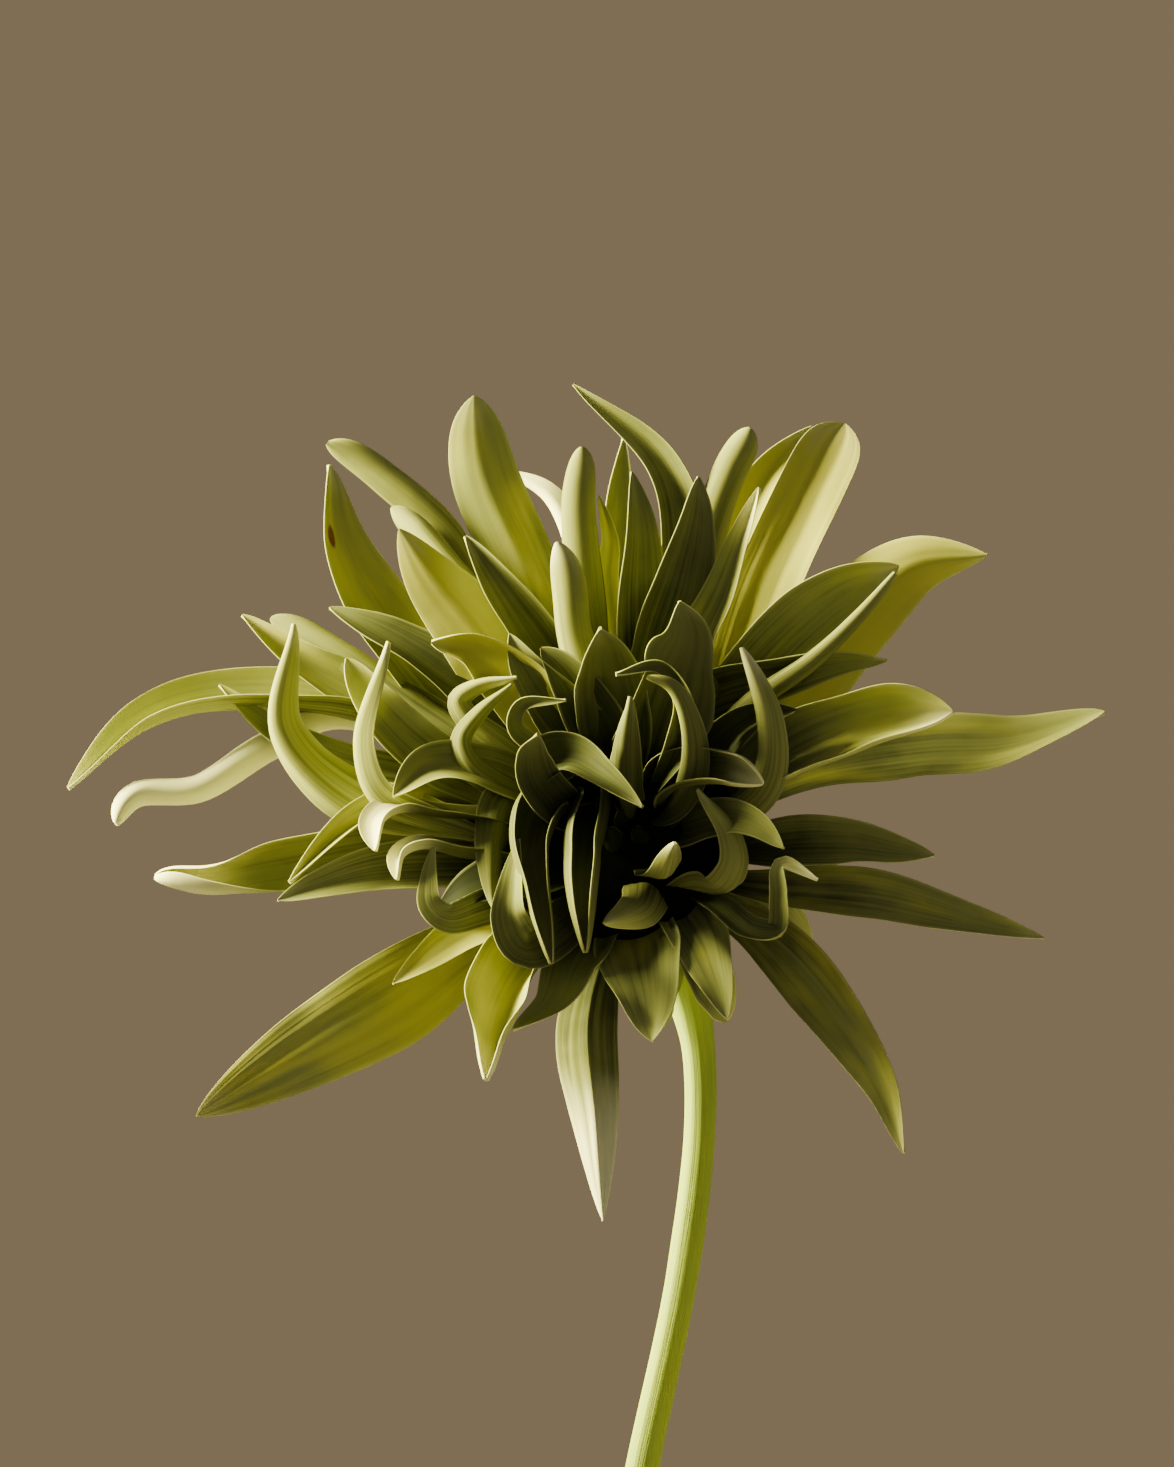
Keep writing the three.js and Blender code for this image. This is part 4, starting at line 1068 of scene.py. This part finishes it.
# a blade folded along its midrib, with waved margins and low ribs
def foldedBladeTree():
    sizes = {
        "Points Across": 17,
        "Middle Thickness": 0.6 * mm,
        "Margin Thickness": 0.12 * mm,
        "Crease Softness": 0.08,
        "Margin Wave": 0.55,
        "Unevenness": 0.35,
        "Rib Depth": 0.07 * mm,
        "Rib Count": 3.5,
        "Full Half Width": 4 * mm,  # narrower blades have lower ribs
    }
    tree, start, given = newGeometryTree("foldedBlade", sizes)

    # a loop of points: over the inner face from margin to margin, and back under the outer one
    count = given["Points Across"]
    loop, index = pointCircle(start, count * 2)
    under = index > count - 0.5
    over = 2 * index / (count - 1) - 1
    back = 1 - 2 * (index - count) / (count - 1)
    closeToMargins = ((over * (1 - under) + back * under) * (math.pi / 2)).sin()
    loop = store(start, loop, "across", closeToMargins)
    loop = store(start, loop, "under", under)
    skin = sweep(start, meshLines(start, given), loop, closed=True)

    # each half leaves the midrib at `fold` and curls in by `roll` more up to its margin
    v, u, below = named(start, "across", "along", "under")
    half, fold, roll, seed, ribbed, wavy = named(start, "half", "fold", "roll", "seed", "ribbed", "wavy")
    spine, side, face = named(start, "spine", "side", "face", kind="FLOAT_VECTOR")
    soft = given["Crease Softness"]
    far = abs(v)
    softFar = ((v * v + soft * soft).root() - soft) / ((1 + soft * soft).root() - soft)
    way = v / (v * v + 0.0001).root()
    reach = ((fold + roll * far).sin() - fold.sin()) / roll * half * way
    rise = (fold.cos() - (fold + roll * softFar).cos()) / roll * half
    angle = (fold + roll * far) * v / (v * v + soft * soft).root()
    outward = face * angle.cos() - side * angle.sin()

    # waves at the margins, a slow unevenness along the blade, and ribs
    clear = u.step(0.08, 0.45)  # none of them at the root
    wave = joined(start, u * 3.2, way * 0.7, seed * 3.7).noise(1.0, 1.0) - 0.5
    slow = joined(start, u * 2.2, v * 0.5, seed * 1.9 + 7).noise(1.0, 1.0) - 0.5
    bulk = (wave * far * far * given["Margin Wave"] * wavy + slow * given["Unevenness"]) * half
    full = (half / given["Full Half Width"]).step(0.0, 1.0)
    ribs = (v * given["Rib Count"] * (2 * math.pi)).cos() * given["Rib Depth"]
    ribs = ribs * ribbed * (1 - far * far) * full
    thickness = given["Middle Thickness"] + (given["Margin Thickness"] - given["Middle Thickness"]) * far
    depth = (bulk + ribs) * clear - thickness * below
    place = spine + side * reach + face * rise + outward * depth
    closeTree(start, skin, place, given["Material"])
    return tree


# Floret: colours of its inner and outer face, with painted shade down the throat and in the heart of the
# bloom, of its young green (also painted shade), of its margins (partly a painted highlight) and of the few
# that turn pale.
floretSetup = {
    "rings": 60,
    "inside": (0.32, 0.345, 0.075),
    # the dark end of the inner face: its veins and mottling, and painted shade down the throat
    "insideDarkAndShaded": (0.058, 0.065, 0.020),
    "insideYellow": (0.60, 0.575, 0.060),
    "insideCool": (0.070, 0.100, 0.028),
    "outside": (0.37, 0.39, 0.082),
    # the dark end of the outer face: its veins, and painted shade at the root
    "outsideDarkAndShaded": (0.085, 0.096, 0.022),
    # dark green of young florets, also laid on as painted shade
    "youngAndShadedGreen": (0.023, 0.028, 0.009),
    "margin": (0.60, 0.62, 0.20),
    "white": (0.86, 0.85, 0.36),
    "spot": (0.16, 0.035, 0.012),
    # the floret that has the spot, by its place in the outer whorl, and the spot's place on it
    "spotOn": dict(number=18, floretLength=55, along=0.84, across=-0.5, length=1.5, width=0.9),
    # the painted shade in the heart: a height on the axis, and the distances over which it fades out
    "paintedShadeHeight": 14,
    "paintedShadeInner": 11,
    "paintedShadeOuter": 27,
}


def floretMaterial():
    values = floretSetup
    material, start, place = newMaterial("dahliaFloret")
    v, u, below, half = readAttributes(start, "across", "along", "under", "half")
    tone, pale, young, seed = readAttributes(start, "tone", "pale", "young", "seed")
    half = half * 1000
    far = abs(v)

    # veins run from the root to the tip
    veins = joined(start, v * 8, u * 1.4, seed * 2.3 + below).noise(1.0)
    fine = joined(start, v * 26, u * 3, seed * 5.1 + below).noise(1.0, 1.0)
    cloud = joined(start, v * 1.2, u * 3.5, seed * 1.7).noise(1.0)
    mottle = place.noise(170.0, 5.0)

    # inner face: yellow green, darker in its veins and mottling and, as painted shade, down its throat;
    # yellower in patches
    shade = ((veins - 0.5) * 0.9 + (mottle - 0.5) * 0.5 + u * 0.85 + tone * 0.25).step(0.05, 0.85)
    inside = shade.mix(values["insideDarkAndShaded"], values["inside"])
    yellow = ((cloud - 0.5) * 1.4 + tone * 0.9).step(0.15, 0.8)
    inside = (yellow * 0.7).mix(inside, values["insideYellow"])
    cool = (tone * -1).step(0.4, 1.0)
    inside = (cool * 0.8).mix(inside, values["insideCool"])

    # outer face: paler and silky, darker in its veins, and darker and greener at the root as painted shade
    outShade = ((veins - 0.5) * 1.2 + (fine - 0.5) * 0.4 + u * 0.9 + tone * 0.15).step(0.0, 0.9)
    outside = outShade.mix(values["outsideDarkAndShaded"], values["outside"])
    colour = below.mix(inside, outside)
    # dark green of young florets and painted shade on florets in shadow; less of it towards the tips, as
    # painted light where the tips catch the lamp, and less on the outer face
    unripeAndShaded = young * (1 - (1 - young) * u * u * 0.6) * (1 - below * (1 - young) * 0.5)
    colour = unripeAndShaded.mix(colour, values["youngAndShadedGreen"])

    # painted shade: darker down in the heart of the bloom, where the florets shade each other
    middle = tuple(bloomPoint(0, 0, values["paintedShadeHeight"]) * mm)
    gap = start.make("ShaderNodeVectorMath", {"operation": "DISTANCE"}, {0: place, 1: middle}, "Value")
    paintedShade = 1 - (gap * 1000).step(values["paintedShadeInner"], values["paintedShadeOuter"])
    colour = (paintedShade * (young * 0.5 + 0.35)).mix(colour, values["youngAndShadedGreen"])

    # margins: a pale line that comes and goes, partly their own paler colour and partly a painted highlight
    # where the thin edge catches the light
    width = 0.05 + u * u * 0.09
    line = (far + (fine - 0.5) * 0.12 + (cloud - 0.5) * 0.08).step(0.98 - width, 1.02)
    colour = (line * u * (cloud + 0.1) * (1 - young * 0.5)).mix(colour, values["margin"])
    tip = (u + (cloud - 0.5) * 0.2).step(0.9, 1.0) * 0.2 * (1 - young)
    blanched = (u - 1.1 + pale + (cloud - 0.5) * 0.2).step(0.0, 0.3)
    colour = (tip + blanched * (1 - tip)).mix(colour, values["white"])

    # the brown spot on one floret, near its tip
    on = values["spotOn"]
    beyond = (u - on["along"]) * on["floretLength"] / on["length"]
    beside = (v - on["across"]) * half / on["width"]
    away = (beyond * beyond + beside * beside).root() + abs(seed - on["number"]) * 10
    spot = 1 - (away + (mottle - 0.5) * 0.8).step(0.75, 1.2)
    colour = (spot * 0.9).mix(colour, values["spot"])

    # the fine relief fades out where the blade is narrow
    height = place.noise(320.0, 1.0) * 0.06 * (half / 6).step(0.1, 1.0)
    roughness = 0.46 + mottle * 0.16 + below * 0.04
    fixed = {
        "Subsurface Weight": 0.05,
        "Subsurface Radius": (0.7, 0.75, 0.12),
        "Subsurface Scale": 0.5 * mm,
        "Specular IOR Level": 0.02,
    }
    bump = height.relief(0.7)
    finishMaterial(start, {"Base Color": colour, "Roughness": roughness, "Normal": bump, **fixed})
    return material


bladeTree = foldedBladeTree()
workNumbers = ["spine", "side", "face", "fold", "roll", "ribbed", "wavy"]


def bladePiece(name, blades, material):
    lines = linesMesh(name, [blade["spine"] for blade in blades], bladeNumbers(blades))
    return grown(name, lines, bladeTree, material, workNumbers)


blades = [blade for bracts in bractSetup.values() for blade in bractBlades(bracts)]
dress(bladePiece("bracts", blades, stemLook), "stem")

floretLook = floretMaterial()
whorls = {"outer": outerWhorl, "second": secondWhorl, "third": thirdWhorl, "inner": innerWhorl}
groups = {name: whorlFlorets(whorl) for name, whorl in whorls.items()}
groups |= {"back": backFlorets(), "heart": heartFlorets()}
for number, (name, florets) in enumerate(groups.items()):
    piece = bladePiece(name + "Florets", floretBlades(florets, floretSetup["rings"], number), floretLook)
    dress(piece, "bloom")


# Core: the receptacle with the crowded feet of the florets, as radius and height. Its nearly black colour is
# painted shade, as the feet stand deep in the shadow of the florets.
coreSetup = {
    "profile": [(0, -0.7), (8.8, -0.7), (14, 4), (16.5, 9.5), (15, 15.5), (10, 18.5), (0, 19.5)],
    "steps": 6,
    "deep": (0.003, 0.004, 0.001),
    "lit": (0.010, 0.012, 0.003),
}


def coreMaterial():
    material, start, place = newMaterial("floretFeet")
    # nearly black all over: painted shade, varied by lumps
    lumps = place.noise(350.0, 5.0)
    colour = lumps.mix(coreSetup["deep"], coreSetup["lit"])
    values = {"Base Color": colour, "Roughness": 0.6 + lumps * 0.2, "Specular IOR Level": 0.0}
    finishMaterial(start, {**values, "Normal": (lumps * 0.4).relief(0.8)})
    return material


# turned upright as the vase is, then tipped onto the bloom's axis
def makeCore():
    first, *between, last = coreSetup["profile"]
    curve = smoothLine([(radius, height, 0) for radius, height in between], coreSetup["steps"])
    profile = [first, *((x, y) for x, y, _ in curve), last]
    core = turnedPiece("floretFeet", profile, wheelTree, coreMaterial())
    frameAxes = np.stack([across, upward, axis], axis=1)
    points = np.array([vertex.co for vertex in core.data.vertices])
    core.data.vertices.foreach_set("co", (points @ frameAxes.T + heart * mm).ravel())
    core.data.update()
    return core


dress(makeCore(), "bloom")
